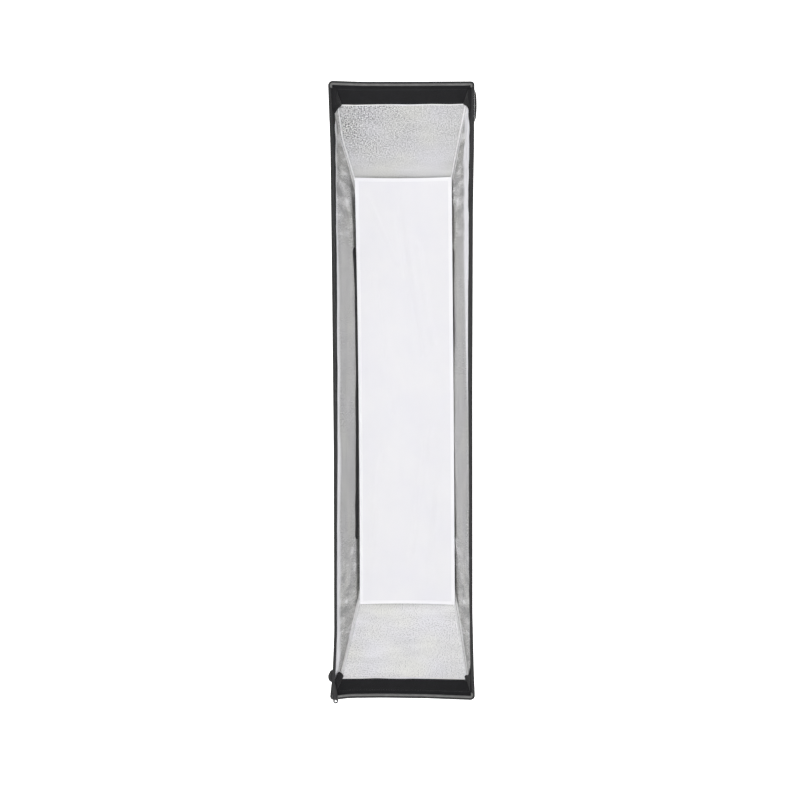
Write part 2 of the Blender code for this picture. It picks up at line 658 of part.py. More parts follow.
def build_strap(corner, sign_x, sign_z):
    """An elastic loop round the rod, with a tab up to the baffle's back."""
    t = seam_parameter(STRAP_FORWARD)
    centre = rod_point(t, sign_x, sign_z)
    direction = (rod_point(t + 0.01, sign_x, sign_z) - centre).normalized()
    inner, outer = STRAP_BAND_RADII
    half = direction * STRAP_BAND_LENGTH / 2
    strap = add_rod(f"baffle_strap_{corner}", centre - half, centre + half, outer,
                    "black_fabric", vertices=24)
    angle = math.atan2(abs(direction.z), -direction.y)
    reach = (inner + outer) / 2
    start_y = centre.y - reach * math.sin(angle)
    near = abs(centre.z) - reach * math.cos(angle) + 0.4 * MM
    low_z, high_z = sorted((sign_z * near, sign_z * (near - 1.2 * MM)))
    end_y = HINGE_Y - BAFFLE_FORWARD + BAFFLE_THICKNESS / 2 + GAP
    tab = add_box(f"strap_tab_{corner}", (centre.x - STRAP_TAB_HALF_WIDTH, end_y, low_z),
                  (centre.x + STRAP_TAB_HALF_WIDTH, start_y, high_z))
    bore = add_rod(f"strap_bore_{corner}", centre - half * 1.5, centre + half * 1.5, inner,
                   vertices=24)
    cut(strap, tab, "UNION")
    cut(strap, bore)


def build_corner_tabs():
    """Hook-tape flaps that close two of the rod pockets, and a hanging loop with its eyelet."""
    for name, (low_z, high_z) in FLAP_Z.items():
        sign_x = 1 if name.endswith("right") else -1
        near = RIM_HALF_WIDTH + GAP
        low_x, high_x = sorted((sign_x * near, sign_x * (near + FLAP_THICKNESS)))
        back, ahead = FLAP_FORWARD
        add_box(name, (low_x, HINGE_Y - ahead, low_z), (high_x, HINGE_Y - back, high_z),
                "black_fabric")
    top = -RIM_HALF_HEIGHT - GAP
    outline = arc_points((0, 0), LOOP_RADIUS, 180, 360, 17)
    outline += [(LOOP_RADIUS, top - LOOP_CENTRE[1]), (-LOOP_RADIUS, top - LOOP_CENTRE[1])]
    place = Matrix(((1, 0, 0, LOOP_CENTRE[0]), (0, 0, -1, HINGE_Y - LOOP_FORWARD),
                    (0, 1, 0, LOOP_CENTRE[1]), (0, 0, 0, 1)))
    loop = add_outline("hanging_loop", outline, LOOP_HALF_THICKNESS, "black_fabric", place)
    middle = Vector((LOOP_CENTRE[0], HINGE_Y - LOOP_FORWARD, LOOP_CENTRE[1]))
    reach = Vector((0, 3 * MM, 0))
    hole = add_rod("loop_hole", middle - reach, middle + reach, LOOP_HOLE_RADIUS, vertices=24)
    cut(loop, hole)
    inner, outer = EYELET_RADII
    half = EYELET_HALF_HEIGHT
    profile = [(outer, half), (outer, -half), (inner, -half), (inner, half)]
    add_turned("loop_eyelet", profile, "steel", Matrix.Translation(middle) @ LAMP_AXIS, steps=24)


build_retainer(build_adapter())
build_speedring()
build_lock()
for corner, (sign_x, sign_z) in CORNERS.items():
    build_bracket(corner, sign_x, sign_z)
    build_socket(corner, sign_x, sign_z)
    build_corner_rod(corner, sign_x, sign_z)
    build_pocket(corner, sign_x, sign_z)
    build_strap(corner, sign_x, sign_z)
for side, sign in (("top", 1), ("bottom", -1)):
    build_end_wall(side, sign)
for side, sign in (("left", -1), ("right", 1)):
    build_side_wall(side, sign)
build_rims()
build_collar()
build_baffle()
build_corner_tabs()
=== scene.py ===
"""Looks of a studio strip softbox, built round its CAD: fabric shell, silver lining, rods, hub."""

import json
import math
from collections import namedtuple

import bmesh
import bpy
import numpy as np
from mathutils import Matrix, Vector, noise


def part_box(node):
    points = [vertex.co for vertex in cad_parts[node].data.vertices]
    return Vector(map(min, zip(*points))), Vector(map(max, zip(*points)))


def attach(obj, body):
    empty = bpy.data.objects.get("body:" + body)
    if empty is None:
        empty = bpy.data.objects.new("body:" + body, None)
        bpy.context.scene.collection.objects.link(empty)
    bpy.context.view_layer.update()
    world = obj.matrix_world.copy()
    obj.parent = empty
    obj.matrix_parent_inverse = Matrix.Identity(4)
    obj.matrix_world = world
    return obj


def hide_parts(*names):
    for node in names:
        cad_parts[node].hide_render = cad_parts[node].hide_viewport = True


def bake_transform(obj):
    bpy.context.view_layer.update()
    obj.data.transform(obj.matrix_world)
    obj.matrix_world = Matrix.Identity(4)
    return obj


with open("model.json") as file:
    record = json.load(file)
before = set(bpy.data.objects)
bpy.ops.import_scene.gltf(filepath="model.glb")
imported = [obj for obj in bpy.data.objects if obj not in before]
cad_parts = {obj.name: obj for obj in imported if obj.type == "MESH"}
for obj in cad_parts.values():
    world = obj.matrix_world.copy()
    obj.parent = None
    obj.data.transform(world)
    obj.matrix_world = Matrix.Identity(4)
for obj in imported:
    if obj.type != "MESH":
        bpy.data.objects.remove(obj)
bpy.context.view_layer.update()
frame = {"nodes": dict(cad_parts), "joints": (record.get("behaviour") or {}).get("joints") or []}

MM = 0.001

# ---- dimensions read from the frame


def cad_points(node):
    """A CAD node's vertices, each place once."""
    points = np.array([v.co for v in frame["nodes"][node].data.vertices])
    return np.unique(np.round(points, 6), axis=0)


def joint_place(name):
    """Where a joint's axis passes, at rest."""
    return next(j for j in frame["joints"] if j["name"] == name)["pos_m"]


HINGE_Y = joint_place("fold_top_left")[1]
WALL = 1.0 * MM                       # thickness of the fabric shell
GAP = 0.4 * MM                        # between a tape and the wall it is sewn to
TAPE_THICKNESS = 1.2 * MM

# The top wall's left edge: the lining's face and the outer face take turns from rear to front
edge = cad_points("wall_top")
edge = edge[edge[:, 0] < 0]
edge = edge[np.argsort(-edge[:, 1])][1::2]
edge_forward, edge_height = HINGE_Y - edge[:, 1], edge[:, 2]
steps = np.linspace(0, 1, len(edge))
seam_forward = np.poly1d(np.polyfit(steps, edge_forward, 2))
seam_height = np.poly1d(np.polyfit(steps, edge_height, 2))
SIDE_SLOPE, side_start = np.polyfit(edge_forward, -edge[:, 0], 1)
SIDE_STRETCH = math.hypot(1, SIDE_SLOPE)
SIDE_START = side_start - WALL * SIDE_STRETCH
REAR, FRONT = edge_forward[0], edge_forward[-1]
REAR_HEIGHT, FRONT_HEIGHT = edge_height[0], edge_height[-1]

rim_low, rim_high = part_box("rim_top")
RIM_HALF_WIDTH, RIM_HALF_HEIGHT = rim_high.x, rim_high.z
RIM_BAND_TOP = rim_high.z - rim_low.z
RIM_BACK, RIM_DEPTH = HINGE_Y - rim_high.y, rim_high.y - rim_low.y
FRONT_Y = HINGE_Y - RIM_BACK - RIM_DEPTH
side_low, side_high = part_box("rim_right")
RIM_BAND_SIDE = side_high.x - side_low.x
BAFFLE_FORWARD = HINGE_Y - (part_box("inner_baffle")[0].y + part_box("inner_baffle")[1].y) / 2
BAFFLE_HALF_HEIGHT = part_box("inner_baffle")[1].z

# ---- how the fabric hangs

TAUT_FORWARD = 252 * MM               # behind this the walls are held taut by the baffle

# How far the mouth's edges are pulled in from a straight frame, in mm, along each of them:
# by height for the long sides, and by distance across for the short ends
PULLED_IN = {
    "left": ((-764, -2), (-700, 5), (-600, 9), (-150, 8), (250, 4), (600, 0), (764, -6)),
    "right": ((-764, -1), (-700, 2), (-550, 5.5), (0, 6), (450, 4.5), (600, 2), (764, 1)),
    "top": ((-179, -3.5), (-100, 0), (0, 1), (179, 1.5)),
    "bottom": ((-179, -5), (-130, 1), (-50, 2.5), (60, 2), (179, -1.5)),
}
# How far each side wall billows out, halfway between hub and mouth: by height, in mm
BILLOW = {"left": ((-764, 3), (-500, 2), (0, 0), (250, 2), (550, 17), (764, 17)),
          "right": ((-764, 12), (-550, 11), (-150, 0), (400, 0), (764, 2))}
SEAM_BILLOW = 8 * MM                  # and the top left seam's own
SEAM_BILLOW_FORWARD, SEAM_BILLOW_LENGTH = 325 * MM, 45 * MM
NEAR_SEAM = (0.6, 0.95)               # that billow fades in between these shares of the height
PULL_BLUR, BILLOW_BLUR = 14 * MM, 60 * MM  # how widely both tables' corners are rounded off
BLUR_MARGIN = 60 * MM                 # and how far past a table's ends its line goes on
FLARE = 5 * MM                        # how far the side walls turn out, to tuck into the rim
FLARE_START, FLARE_END = 386 * MM, 421 * MM


def smoothstep(value, low, high):
    """0 below low and 1 above high, with a smooth rise between them."""
    t = np.clip((value - low) / (high - low), 0, 1)
    return t * t * (3 - 2 * t)


def half_width(forward):
    """Half the box's inner width, that far forward of the rods' hinges."""
    return SIDE_START + SIDE_SLOPE * forward


SEAM_TABLE = np.linspace(-0.05, 1.05, 600)


def seam_parameter(forward):
    """How far along the corner seam, from 0 at its rear to 1 at its front, it is that far forward."""
    return np.interp(forward, seam_forward(SEAM_TABLE), SEAM_TABLE)


def seam_angle(u):
    """The slope of the end wall there, from level."""
    return np.arctan2(seam_height.deriv()(u), seam_forward.deriv()(u))


def box_point(u, from_side, from_top, sign_x, sign_z):
    """A point near a corner seam, by its distances inwards from the side and from the end wall."""
    angle = seam_angle(u)
    forward = seam_forward(u) + from_top * np.sin(angle)
    height = seam_height(u) - from_top * np.cos(angle)
    width = half_width(forward) - from_side * SIDE_STRETCH
    return np.stack([sign_x * width, HINGE_Y - forward, sign_z * height], axis=-1)


def soft_line(table, blur):
    """A function through a table of (place, amount) in mm, with its corners rounded off."""
    places, amounts = np.array(table, float).T * MM
    at = np.linspace(places[0] - BLUR_MARGIN, places[-1] + BLUR_MARGIN, 500)
    weights = np.exp(-((at[:, None] - at) / blur) ** 2)
    smooth = weights @ np.interp(at, places, amounts) / weights.sum(axis=1)
    return lambda value: np.interp(value, at, smooth)


PULL = {name: soft_line(table, PULL_BLUR) for name, table in PULLED_IN.items()}
SWELL = {name: soft_line(table, BILLOW_BLUR) for name, table in BILLOW.items()}


def warp(points, flared=True):
    """Moves straight-sided points to where the stretched and sagging fabric really holds them."""
    points = np.array(points, float)
    x, z = points[..., 0].copy(), points[..., 2].copy()
    forward = HINGE_Y - points[..., 1]
    ramp = np.clip((forward - TAUT_FORWARD) / (RIM_BACK - TAUT_FORWARD), 0, 1)
    pull = np.where(x < 0, PULL["left"](z), PULL["right"](z))
    near_side = np.minimum(1, np.abs(x) / half_width(np.maximum(forward, 0)))
    share = np.clip(forward / RIM_BACK, 0, 1)
    swell = np.where(x < 0, SWELL["left"](z), SWELL["right"](z)) * 4 * share * (1 - share)
    near_seam = smoothstep(z / seam_height(seam_parameter(forward)), *NEAR_SEAM)
    bump = SEAM_BILLOW * np.exp(-((forward - SEAM_BILLOW_FORWARD) / SEAM_BILLOW_LENGTH) ** 2)
    swell += np.where(x < 0, bump, 0) * near_seam
    flare = FLARE * smoothstep(forward, FLARE_START, FLARE_END) if flared else 0
    moved = (swell + flare) * near_side ** 2 - ramp ** 2 * pull * near_side
    points[..., 0] += np.sign(x) * moved
    end_pull = np.where(z > 0, PULL["top"](x), PULL["bottom"](x))
    points[..., 2] -= np.sign(z) * ramp ** 6 * end_pull * np.minimum(1, np.abs(z) / RIM_HALF_HEIGHT)
    return points


def soft_noise(points, size, seed=0.0):
    """Smooth noise of that wavelength at each point, from about -1 to 1."""
    flat = np.asarray(points, float).reshape(-1, 3) / size + seed
    values = np.array([noise.noise(Vector(p)) for p in flat])
    return values.reshape(np.shape(points)[:-1])


def ridge(a, b, start, end, width):
    """1 along the segment from start to end, falling smoothly to 0 over width on each side."""
    start, end = np.array(start), np.array(end)
    run = end - start
    along = ((a - start[0]) * run[0] + (b - start[1]) * run[1]) / (run @ run)
    t = np.clip(along, 0, 1)
    distance = np.hypot(a - start[0] - t * run[0], b - start[1] - t * run[1])
    fade = np.clip(1 - np.abs(along - t) * 8, 0, 1)
    return np.exp(-(distance / width) ** 2) * fade


# ---- sheets and shells

Sheet = namedtuple("Sheet", "points normals uv faces")


def unit(vectors):
    return vectors / np.maximum(np.linalg.norm(vectors, axis=-1, keepdims=True), 1e-12)


def grid_faces(rows, columns, closed=False):
    faces = []
    for i in range(rows - 1):
        for j in range(columns if closed else columns - 1):
            k = (j + 1) % columns
            faces.append((i * columns + j, (i + 1) * columns + j, (i + 1) * columns + k,
                          i * columns + k))
    return faces


def grid_sheet(points, uv=None, outwards=None):
    """A sheet from a grid of points. outwards is roughly the way that its normals point."""
    points = np.asarray(points, float)
    normals = unit(np.cross(np.gradient(points, axis=0), np.gradient(points, axis=1)))
    if uv is None:
        across = np.linalg.norm(np.diff(points, axis=1), axis=-1).mean(axis=0)
        along = np.linalg.norm(np.diff(points, axis=0), axis=-1).mean(axis=1)
        v, u = np.meshgrid(np.append(0, np.cumsum(across)), np.append(0, np.cumsum(along)))
        uv = np.stack([u, v], axis=-1)
    faces = grid_faces(*points.shape[:2])
    if outwards is not None and (normals.reshape(-1, 3) @ np.array(outwards)).mean() < 0:
        normals = -normals
        faces = [f[::-1] for f in faces]
    return Sheet(points.reshape(-1, 3), normals.reshape(-1, 3), uv.reshape(-1, 2), faces)


def split(sheet, point, direction):
    """The two parts of a sheet, behind and beyond a plane, cut cleanly along it."""
    bm = bmesh.new()
    normal_layer = bm.verts.layers.float_vector.new("sheet_normal")
    uv_layer = bm.verts.layers.float_vector.new("sheet_uv")
    verts = []
    for p, n, uv in zip(sheet.points, sheet.normals, sheet.uv):
        v = bm.verts.new(p)
        v[normal_layer], v[uv_layer] = n, (uv[0], uv[1], 0)
        verts.append(v)
    for f in sheet.faces:
        bm.faces.new([verts[i] for i in f])
    bmesh.ops.bisect_plane(bm, geom=bm.verts[:] + bm.edges[:] + bm.faces[:], dist=1e-6,
                           plane_co=point, plane_no=direction)
    bm.verts.index_update()
    points = np.array([v.co for v in bm.verts])
    normals = unit(np.array([v[normal_layer] for v in bm.verts]))
    uvs = np.array([v[uv_layer][:2] for v in bm.verts])
    parts = [[], []]
    for f in bm.faces:
        beyond = (f.calc_center_median() - Vector(point)).dot(Vector(direction)) > 0
        parts[beyond].append(tuple(v.index for v in f.verts))
    bm.free()
    cut = Sheet(points, normals, uvs, None)
    return [part_of(cut, faces) for faces in parts]


def part_of(sheet, faces):
    """Only those faces of a sheet, with the points they use."""
    used = sorted({i for f in faces for i in f})
    place = {i: k for k, i in enumerate(used)}
    return Sheet(sheet.points[used], sheet.normals[used], sheet.uv[used],
                 [tuple(place[i] for i in f) for f in faces])


def new_object(name, mesh, materials):
    for m in materials:
        mesh.materials.append(m)
    obj = bpy.data.objects.new(name, mesh)
    bpy.context.scene.collection.objects.link(obj)
    return obj


def mesh_object(name, points, faces, materials, uv=None, material_index=None, normals=None):
    mesh = bpy.data.meshes.new(name)
    mesh.from_pydata([tuple(p) for p in points], [], faces)
    corners = np.array([i for f in faces for i in f])
    if uv is not None:
        layer = mesh.uv_layers.new(name="UVMap")
        layer.data.foreach_set("uv", np.asarray(uv, np.float32)[corners].ravel())
    if material_index is not None:
        mesh.polygons.foreach_set("material_index", np.asarray(material_index, np.int32))
    mesh.shade_smooth()
    mesh.update()
    if normals is not None:
        mesh.normals_split_custom_set([tuple(n) for n in normals])
    return new_object(name, mesh, materials)


def shell(name, sheet, thickness, inner, outer=None):
    """A closed shell on the side of a sheet that its normals point to."""
    count = len(sheet.points)
    points = np.concatenate([sheet.points, sheet.points + sheet.normals * thickness])
    uses = {}
    for f in sheet.faces:
        for a, b in zip(f, f[1:] + f[:1]):
            uses.setdefault((min(a, b), max(a, b)), []).append((a, b))
    borders = [pairs[0] for pairs in uses.values() if len(pairs) == 1]
    top = [tuple(i + count for i in f) for f in sheet.faces]
    under = [f[::-1] for f in sheet.faces]
    rim = [(b + count, a + count, a, b) for a, b in borders]
    corner_normals = [sheet.normals[i - count] for f in top for i in f]
    corner_normals += [-sheet.normals[i] for f in under for i in f]
    for a, b in borders:
        along = sheet.points[b] - sheet.points[a]
        side = np.cross(along, sheet.normals[a])
        corner_normals += [side / max(np.linalg.norm(side), 1e-12)] * 4
    looks = [inner] if outer is None else [inner, outer]
    top_look = len(looks) - 1
    index = [top_look] * len(top) + [0] * len(under) + [top_look] * len(rim)
    return mesh_object(name, points, top + under + rim, looks, np.concatenate([sheet.uv] * 2),
                       index, corner_normals)


def flat_size(sheet):
    """(width, length) of the smallest rectangle that the flat cut fits, and its area."""
    corners = sheet.uv
    area = 0.0
    for f in sheet.faces:
        x, y = corners[list(f)].T
        area += abs(np.dot(x, np.roll(y, 1)) - np.dot(y, np.roll(x, 1))) / 2
    best = None
    for degrees in range(0, 180, 2):
        a = math.radians(degrees)
        turned = corners @ np.array([[math.cos(a), -math.sin(a)], [math.sin(a), math.cos(a)]])
        width, length = np.ptp(turned, axis=0)
        if best is None or width * length < best[0] * best[1]:
            best = (width, length)
    return sorted(best), area


def surface_area(sheet):
    """The sheet's own area as it hangs, with its folds."""
    total = 0.0
    for f in sheet.faces:
        p = sheet.points[list(f)]
        total += float(np.linalg.norm(np.cross(p[2] - p[0], p[-1] - p[1]))) / 2
    return total


def declare(obj, sheet, rests_on, **more):
    """Works out the size of a piece's flat cut and its area, and keeps neither."""
    flat, area = flat_size(sheet)
    area = min(area, surface_area(sheet))


# ---- the rods' corners, and baking pieces in place

CORNERS = {"top_left": (-1, 1), "top_right": (1, 1), "bottom_left": (-1, -1),
           "bottom_right": (1, -1)}


def corner_name(sign_x, sign_z):
    return ("top" if sign_z > 0 else "bottom") + ("_left" if sign_x < 0 else "_right")


def follow_front(obj, sign_x, sign_z, height=None):
    """Bakes a piece's placement into its mesh: fabric from the level middle to the end that the rods
    carry.
    """
    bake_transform(obj)


def follow_seam(obj, sign_x, sign_z):
    """Bakes a piece's placement into its mesh: side fabric between the diagonal and the corner seam.
    """
    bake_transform(obj)


# ---- materials


class Look:
    """A node material, with short calls for the few nodes that the looks are made of."""

    def __init__(self, name, colour, roughness, metallic=0.0, **sockets):
        self.material = bpy.data.materials.new(name)
        self.material.use_nodes = True
        self.tree = self.material.node_tree
        self.shader = self.tree.nodes["Principled BSDF"]
        self.shader.inputs["Base Color"].default_value = (*colour, 1)
        self.shader.inputs["Roughness"].default_value = roughness
        self.shader.inputs["Metallic"].default_value = metallic
        for socket, value in sockets.items():
            self.shader.inputs[socket.replace("_", " ")].default_value = value

    def node(self, kind, inputs=None, **settings):
        made = self.tree.nodes.new("ShaderNode" + kind)
        for key, value in settings.items():
            setattr(made, key, value)
        for key, value in (inputs or {}).items():
            self.give(made.inputs[key], value)
        return made

    def give(self, socket, value):
        if isinstance(value, bpy.types.NodeSocket):
            self.tree.links.new(value, socket)
        else:
            socket.default_value = value

    def place(self, by_uv=True, scale=(1, 1, 1), turn=0.0):
        coordinates = self.node("TexCoord").outputs["UV" if by_uv else "Object"]
        return self.node("Mapping", {"Vector": coordinates, "Scale": scale,
                                     "Rotation": (0, 0, turn)}).outputs["Vector"]

    def noise(self, where, scale, detail=3.0):
        return self.node("TexNoise", {"Vector": where, "Scale": scale, "Detail": detail,
                                      "Roughness": 0.6}).outputs["Fac"]

    def wave(self, where, scale, direction):
        """Even ribs: scale is how many there are in a metre."""
        return self.node("TexWave", {"Vector": where, "Scale": scale * math.pi / 10},
                         bands_direction=direction, wave_profile="SIN").outputs["Fac"]

    def weave(self, where, threads):
        """Ribs both ways, crossing."""
        return self.math("MULTIPLY", self.wave(where, threads, "X"), self.wave(where, threads, "Y"))

    def cells(self, where, scale):
        return self.node("TexVoronoi", {"Vector": where, "Scale": scale}).outputs["Distance"]

    def ramp(self, value, low, high, at=(0.0, 1.0)):
        """Takes a value between two colours or, for plain numbers, two levels."""
        if isinstance(low, tuple):
            ramp = self.node("ValToRGB", {"Fac": value})
            for element, colour, position in zip(ramp.color_ramp.elements, (low, high), at):
                element.color, element.position = (*colour, 1), position
            return ramp.outputs["Color"]
        return self.node("MapRange", {"Value": value, "From Min": at[0], "From Max": at[1],
                                      "To Min": low, "To Max": high}).outputs["Result"]

    def mix(self, factor, a, b, kind="MIX"):
        made = self.node("Mix", data_type="RGBA", blend_type=kind)
        self.give(made.inputs["Factor"], factor)
        self.give(made.inputs["A"], (*a, 1) if isinstance(a, tuple) else a)
        self.give(made.inputs["B"], (*b, 1) if isinstance(b, tuple) else b)
        return made.outputs["Result"]

    def math(self, operation, a, b):
        return self.node("Math", {0: a, 1: b}, operation=operation).outputs["Value"]

    def blotch(self, base, pattern, amount, strength, below, above, dark, light):
        """Darkens a colour where a pattern is low, and brightens it where the pattern is high."""
        low = self.math("MULTIPLY", self.ramp(pattern, amount, 0.0, below), strength)
        high = self.math("MULTIPLY", self.ramp(pattern, 0.0, amount, above), strength)
        return self.mix(high, self.mix(low, base, dark), light)

    def bump(self, height, distance, strength=1.0, after=None):
        inputs = {"Height": height, "Distance": distance, "Strength": strength}
        if after is not None:
            inputs["Normal"] = after
        return self.node("Bump", inputs).outputs["Normal"]

    def finish(self, colour=None, roughness=None, normal=None):
        for socket, value in (("Base Color", colour), ("Roughness", roughness),
                              ("Normal", normal)):
            if value is not None:
                self.give(self.shader.inputs[socket], value)
        return self.material


def shaded(colour, factor, lift=0.0):
    """A colour made lighter or darker."""
    return tuple(min(1.0, c * factor + lift) for c in colour)


# painted shade and painted glints of the lining's pebbles, as dark and light speckles
PEBBLE_PAINTED_SHADE, PEBBLE_PAINTED_GLINT = (0.10, 0.10, 0.11), (0.95, 0.95, 0.96)
REFLECTION_STRIP_WHITE = (0.97, 0.97, 1.0)       # the painted reflection: a bright white strip on the lining beside the mouth
STRIP_FADE = 0.02                     # in metres along the lining
# how far, in metres along the lining, the painted speckle takes to grow stronger
PAINTED_SPECKLE_FADE = 0.13
CRUMPLED_ACROSS = (0.36, 0.47)        # metres from the level middle where the mottling sets in
TILT_FROM = 0.35                      # metres up, above which the painted reflection's strip no longer tilts


def silver_lining(name, shade, pebble, contrast, painted_speckle_from=None, reflection_from=None,
                  mottled=0.0):
    """Coated cloth with a metallic face, tinted slightly lilac and green here and there, with painted
    shade and glints as speckles over its pebbles and painted shade in streaks. The painted speckle
    can be stronger beyond a distance along it, a painted reflection can brighten it beyond another
    near the mouth, and it can be mottled by painted patches where its crumples catch the light."""
    look = Look(name, (shade, shade, shade), 0.4, metallic=0.25)
    where = look.place()
    along, across = (look.node("SeparateXYZ", {"Vector": where}).outputs[k] for k in "XY")
    speckle = look.noise(where, 1 / pebble, detail=2.5)
    strength = look.ramp(look.noise(where, 14), 0.45, 1.0, (0.35, 0.58))
    # painted speckle made stronger towards the mouth and towards the left
    if painted_speckle_from is not None:
        front = look.ramp(along, 0.15, 1.0, (painted_speckle_from, painted_speckle_from + PAINTED_SPECKLE_FADE))
        to_left = look.ramp(across, 1.0, 0.45, (-0.07, 0.07))
        strength = look.math("MULTIPLY", strength, look.math("MULTIPLY", front, to_left))
    tints = look.noise(where, 9, detail=1.0)
    cool, warm = (0.97, 0.945) if mottled else (1.02, 0.97)
    base = look.ramp(tints, (shade, shade, shade * warm),
                     (shade * 0.985, shade * 0.98, shade * cool), (0.35, 0.65))
    # painted shade: the lining darkened in long soft streaks
    shade_streaks = look.noise(look.place(scale=(1, 0.2, 1), turn=0.5), 30, detail=4.0)
    base = look.mix(look.ramp(shade_streaks, 0.0, 0.5, (0.42, 0.7)), base, (shade * 0.72,) * 3)
    # painted shade and painted glints: dark and light speckles over the pebbles
    base = look.blotch(base, speckle, contrast, strength, (0.38, 0.53), (0.55, 0.68),
                       PEBBLE_PAINTED_SHADE, PEBBLE_PAINTED_GLINT)
    if mottled:
        ends = look.ramp(look.math("ABSOLUTE", across, 0.0), 0.08, 1.0, CRUMPLED_ACROSS)
        patches = look.noise(look.place(scale=(0.3, 1, 1), turn=0.25), 38, detail=5.0)
        base = look.blotch(base, patches, mottled, ends, (0.36, 0.48), (0.54, 0.68),
                           (shade * 0.5,) * 3, (0.95,) * 3)
    # painted reflection: the lining turned near-white in a strip near the mouth, where it bulges
    # towards the light
    if reflection_from is not None:
        start, tilt = reflection_from
        tilted = look.math("MULTIPLY", look.math("MINIMUM", across, TILT_FROM), tilt)
        place = look.math("ADD", along, tilted)
        base = look.mix(look.ramp(place, 0.0, 1.0, (start, start + STRIP_FADE)), base,
                        REFLECTION_STRIP_WHITE)
    weave = look.bump(look.wave(where, 900, "X"), 0.05 * MM)
    return look.finish(base, look.ramp(speckle, 0.55, 0.36, (0.3, 0.7)),
                       look.bump(look.cells(where, 0.8 / pebble), 0.25 * MM, 0.5, weave))


def nylon(name, colour):
    """Plain-woven black cloth: fine ribs both ways, a little worn and dusty in places."""
    look = Look(name, colour, 0.62, Sheen_Weight=0.12, Sheen_Roughness=0.45,
                Specular_IOR_Level=0.2)
    where = look.place()
    weave = look.weave(where, 1400)
    dust = look.noise(where, 30)
    base = look.mix(look.ramp(dust, 0.0, 0.55, (0.45, 0.8)), colour, shaded(colour, 1.7, 0.004))
    base = look.mix(look.ramp(weave, 0.5, 0.0), base, shaded(colour, 0.6))
    creases = look.bump(look.noise(where, 60, detail=4.0), 0.5 * MM, 0.5)
    return look.finish(base, look.ramp(dust, 0.62, 0.77),
                       look.bump(weave, 0.12 * MM, 0.7, creases))


def loop_pile(name, colour):
    """The fuzzy face of loop tape."""
    look = Look(name, colour, 0.95, Sheen_Weight=0.08, Sheen_Roughness=0.6,
                Specular_IOR_Level=0.15)
    where = look.place()
    loops = look.cells(where, 1300)
    tufts = look.noise(where, 420, detail=4.0)
    rubbed = look.noise(where, 22)
    base = look.mix(look.ramp(tufts, 0.0, 1.0, (0.35, 0.7)), shaded(colour, 0.65),
                    shaded(colour, 1.35))
    base = look.mix(look.ramp(rubbed, 0.0, 0.4, (0.5, 0.8)), base, shaded(colour, 2.0))
    pile = look.bump(tufts, 0.4 * MM, 0.7)
    return look.finish(base, None, look.bump(loops, 0.3 * MM, 0.6, pile))


def binding(name, colour):
    """Ribbed grosgrain tape, its ribs across its length."""
    look = Look(name, colour, 0.6, Sheen_Weight=0.12, Sheen_Roughness=0.4, Specular_IOR_Level=0.2)
    where = look.place()
    ribs = look.wave(where, 1100, "X")
    rubbed = look.noise(where, 55, detail=4.0)
    base = look.mix(look.ramp(ribs, 0.0, 0.45), colour, shaded(colour, 0.55))
    base = look.mix(look.ramp(rubbed, 0.0, 0.5, (0.45, 0.75)), base, shaded(colour, 1.6))
    fuzz = look.bump(look.noise(where, 1500, detail=2.0), 0.08 * MM, 0.6)
    return look.finish(base, look.ramp(rubbed, 0.55, 0.75), look.bump(ribs, 0.16 * MM, 0.8, fuzz))


def diffusion(name, colour, glow):
    """Thin white diffusion cloth that lets some light through."""
    look = Look(name, colour, 0.72, Sheen_Weight=0.15, Sheen_Roughness=0.5,
                Subsurface_Weight=glow, Subsurface_Scale=3 * MM, Subsurface_Radius=(1, 1, 1))
    where = look.place()
    weave = look.weave(where, 1500)
    cloud = look.noise(where, 7, detail=3.0)
    base = look.mix(look.ramp(cloud, 0.0, 1.0, (0.35, 0.65)), colour,
                    tuple(c * k for c, k in zip(colour, (0.965, 0.965, 0.99))))
    base = look.mix(look.ramp(weave, 0.12, 0.0), base, shaded(colour, 0.8))
    creases = look.bump(look.noise(look.place(scale=(1, 0.25, 1), turn=0.3), 18, detail=4.0),
                        0.6 * MM, 0.35)
    return look.finish(base, None, look.bump(weave, 0.06 * MM, 0.6, creases))


def turned_metal(name, colour, roughness):
    """Anodised metal with fine turning rings round the lamp axis."""
    look = Look(name, colour, roughness, metallic=0.85)
    where = look.place(by_uv=False)
    axes = look.node("SeparateXYZ", {"Vector": where}).outputs
    squares = look.math("ADD", look.math("POWER", axes["X"], 2), look.math("POWER", axes["Z"], 2))
    radius = look.node("CombineXYZ", {"X": look.math("SQRT", squares, 0)}).outputs["Vector"]
    rings = look.noise(radius, 2500, detail=2.0)
    stains = look.noise(where, 45)
    base = look.mix(look.ramp(stains, 0.0, 0.6, (0.4, 0.8)), colour, shaded(colour, 1.5))
    return look.finish(base, look.ramp(rings, roughness - 0.08, roughness + 0.14, (0.3, 0.7)),
                       look.bump(rings, 0.05 * MM, 0.5))


def powder_coat(name, colour):
    """Cast metal under black powder coat: an orange-peel face with bare worn edges."""
    look = Look(name, colour, 0.5, Coat_Weight=0.15, Coat_Roughness=0.4)
    where = look.place(by_uv=False)
    peel = look.noise(where, 900, detail=2.0)
    grime = look.noise(where, 60)
    edges = look.node("NewGeometry").outputs["Pointiness"]
    worn = look.math("MULTIPLY", look.ramp(edges, 0.0, 1.0, (0.53, 0.6)),
                     look.ramp(look.noise(where, 200), 0.0, 1.0, (0.45, 0.7)))
    base = look.mix(look.ramp(grime, 0.0, 0.6, (0.4, 0.8)), colour, shaded(colour, 1.8, 0.003))
    base = look.mix(worn, base, (0.22, 0.22, 0.23))
    return look.finish(base, look.ramp(grime, 0.42, 0.6), look.bump(peel, 0.12 * MM, 0.5))


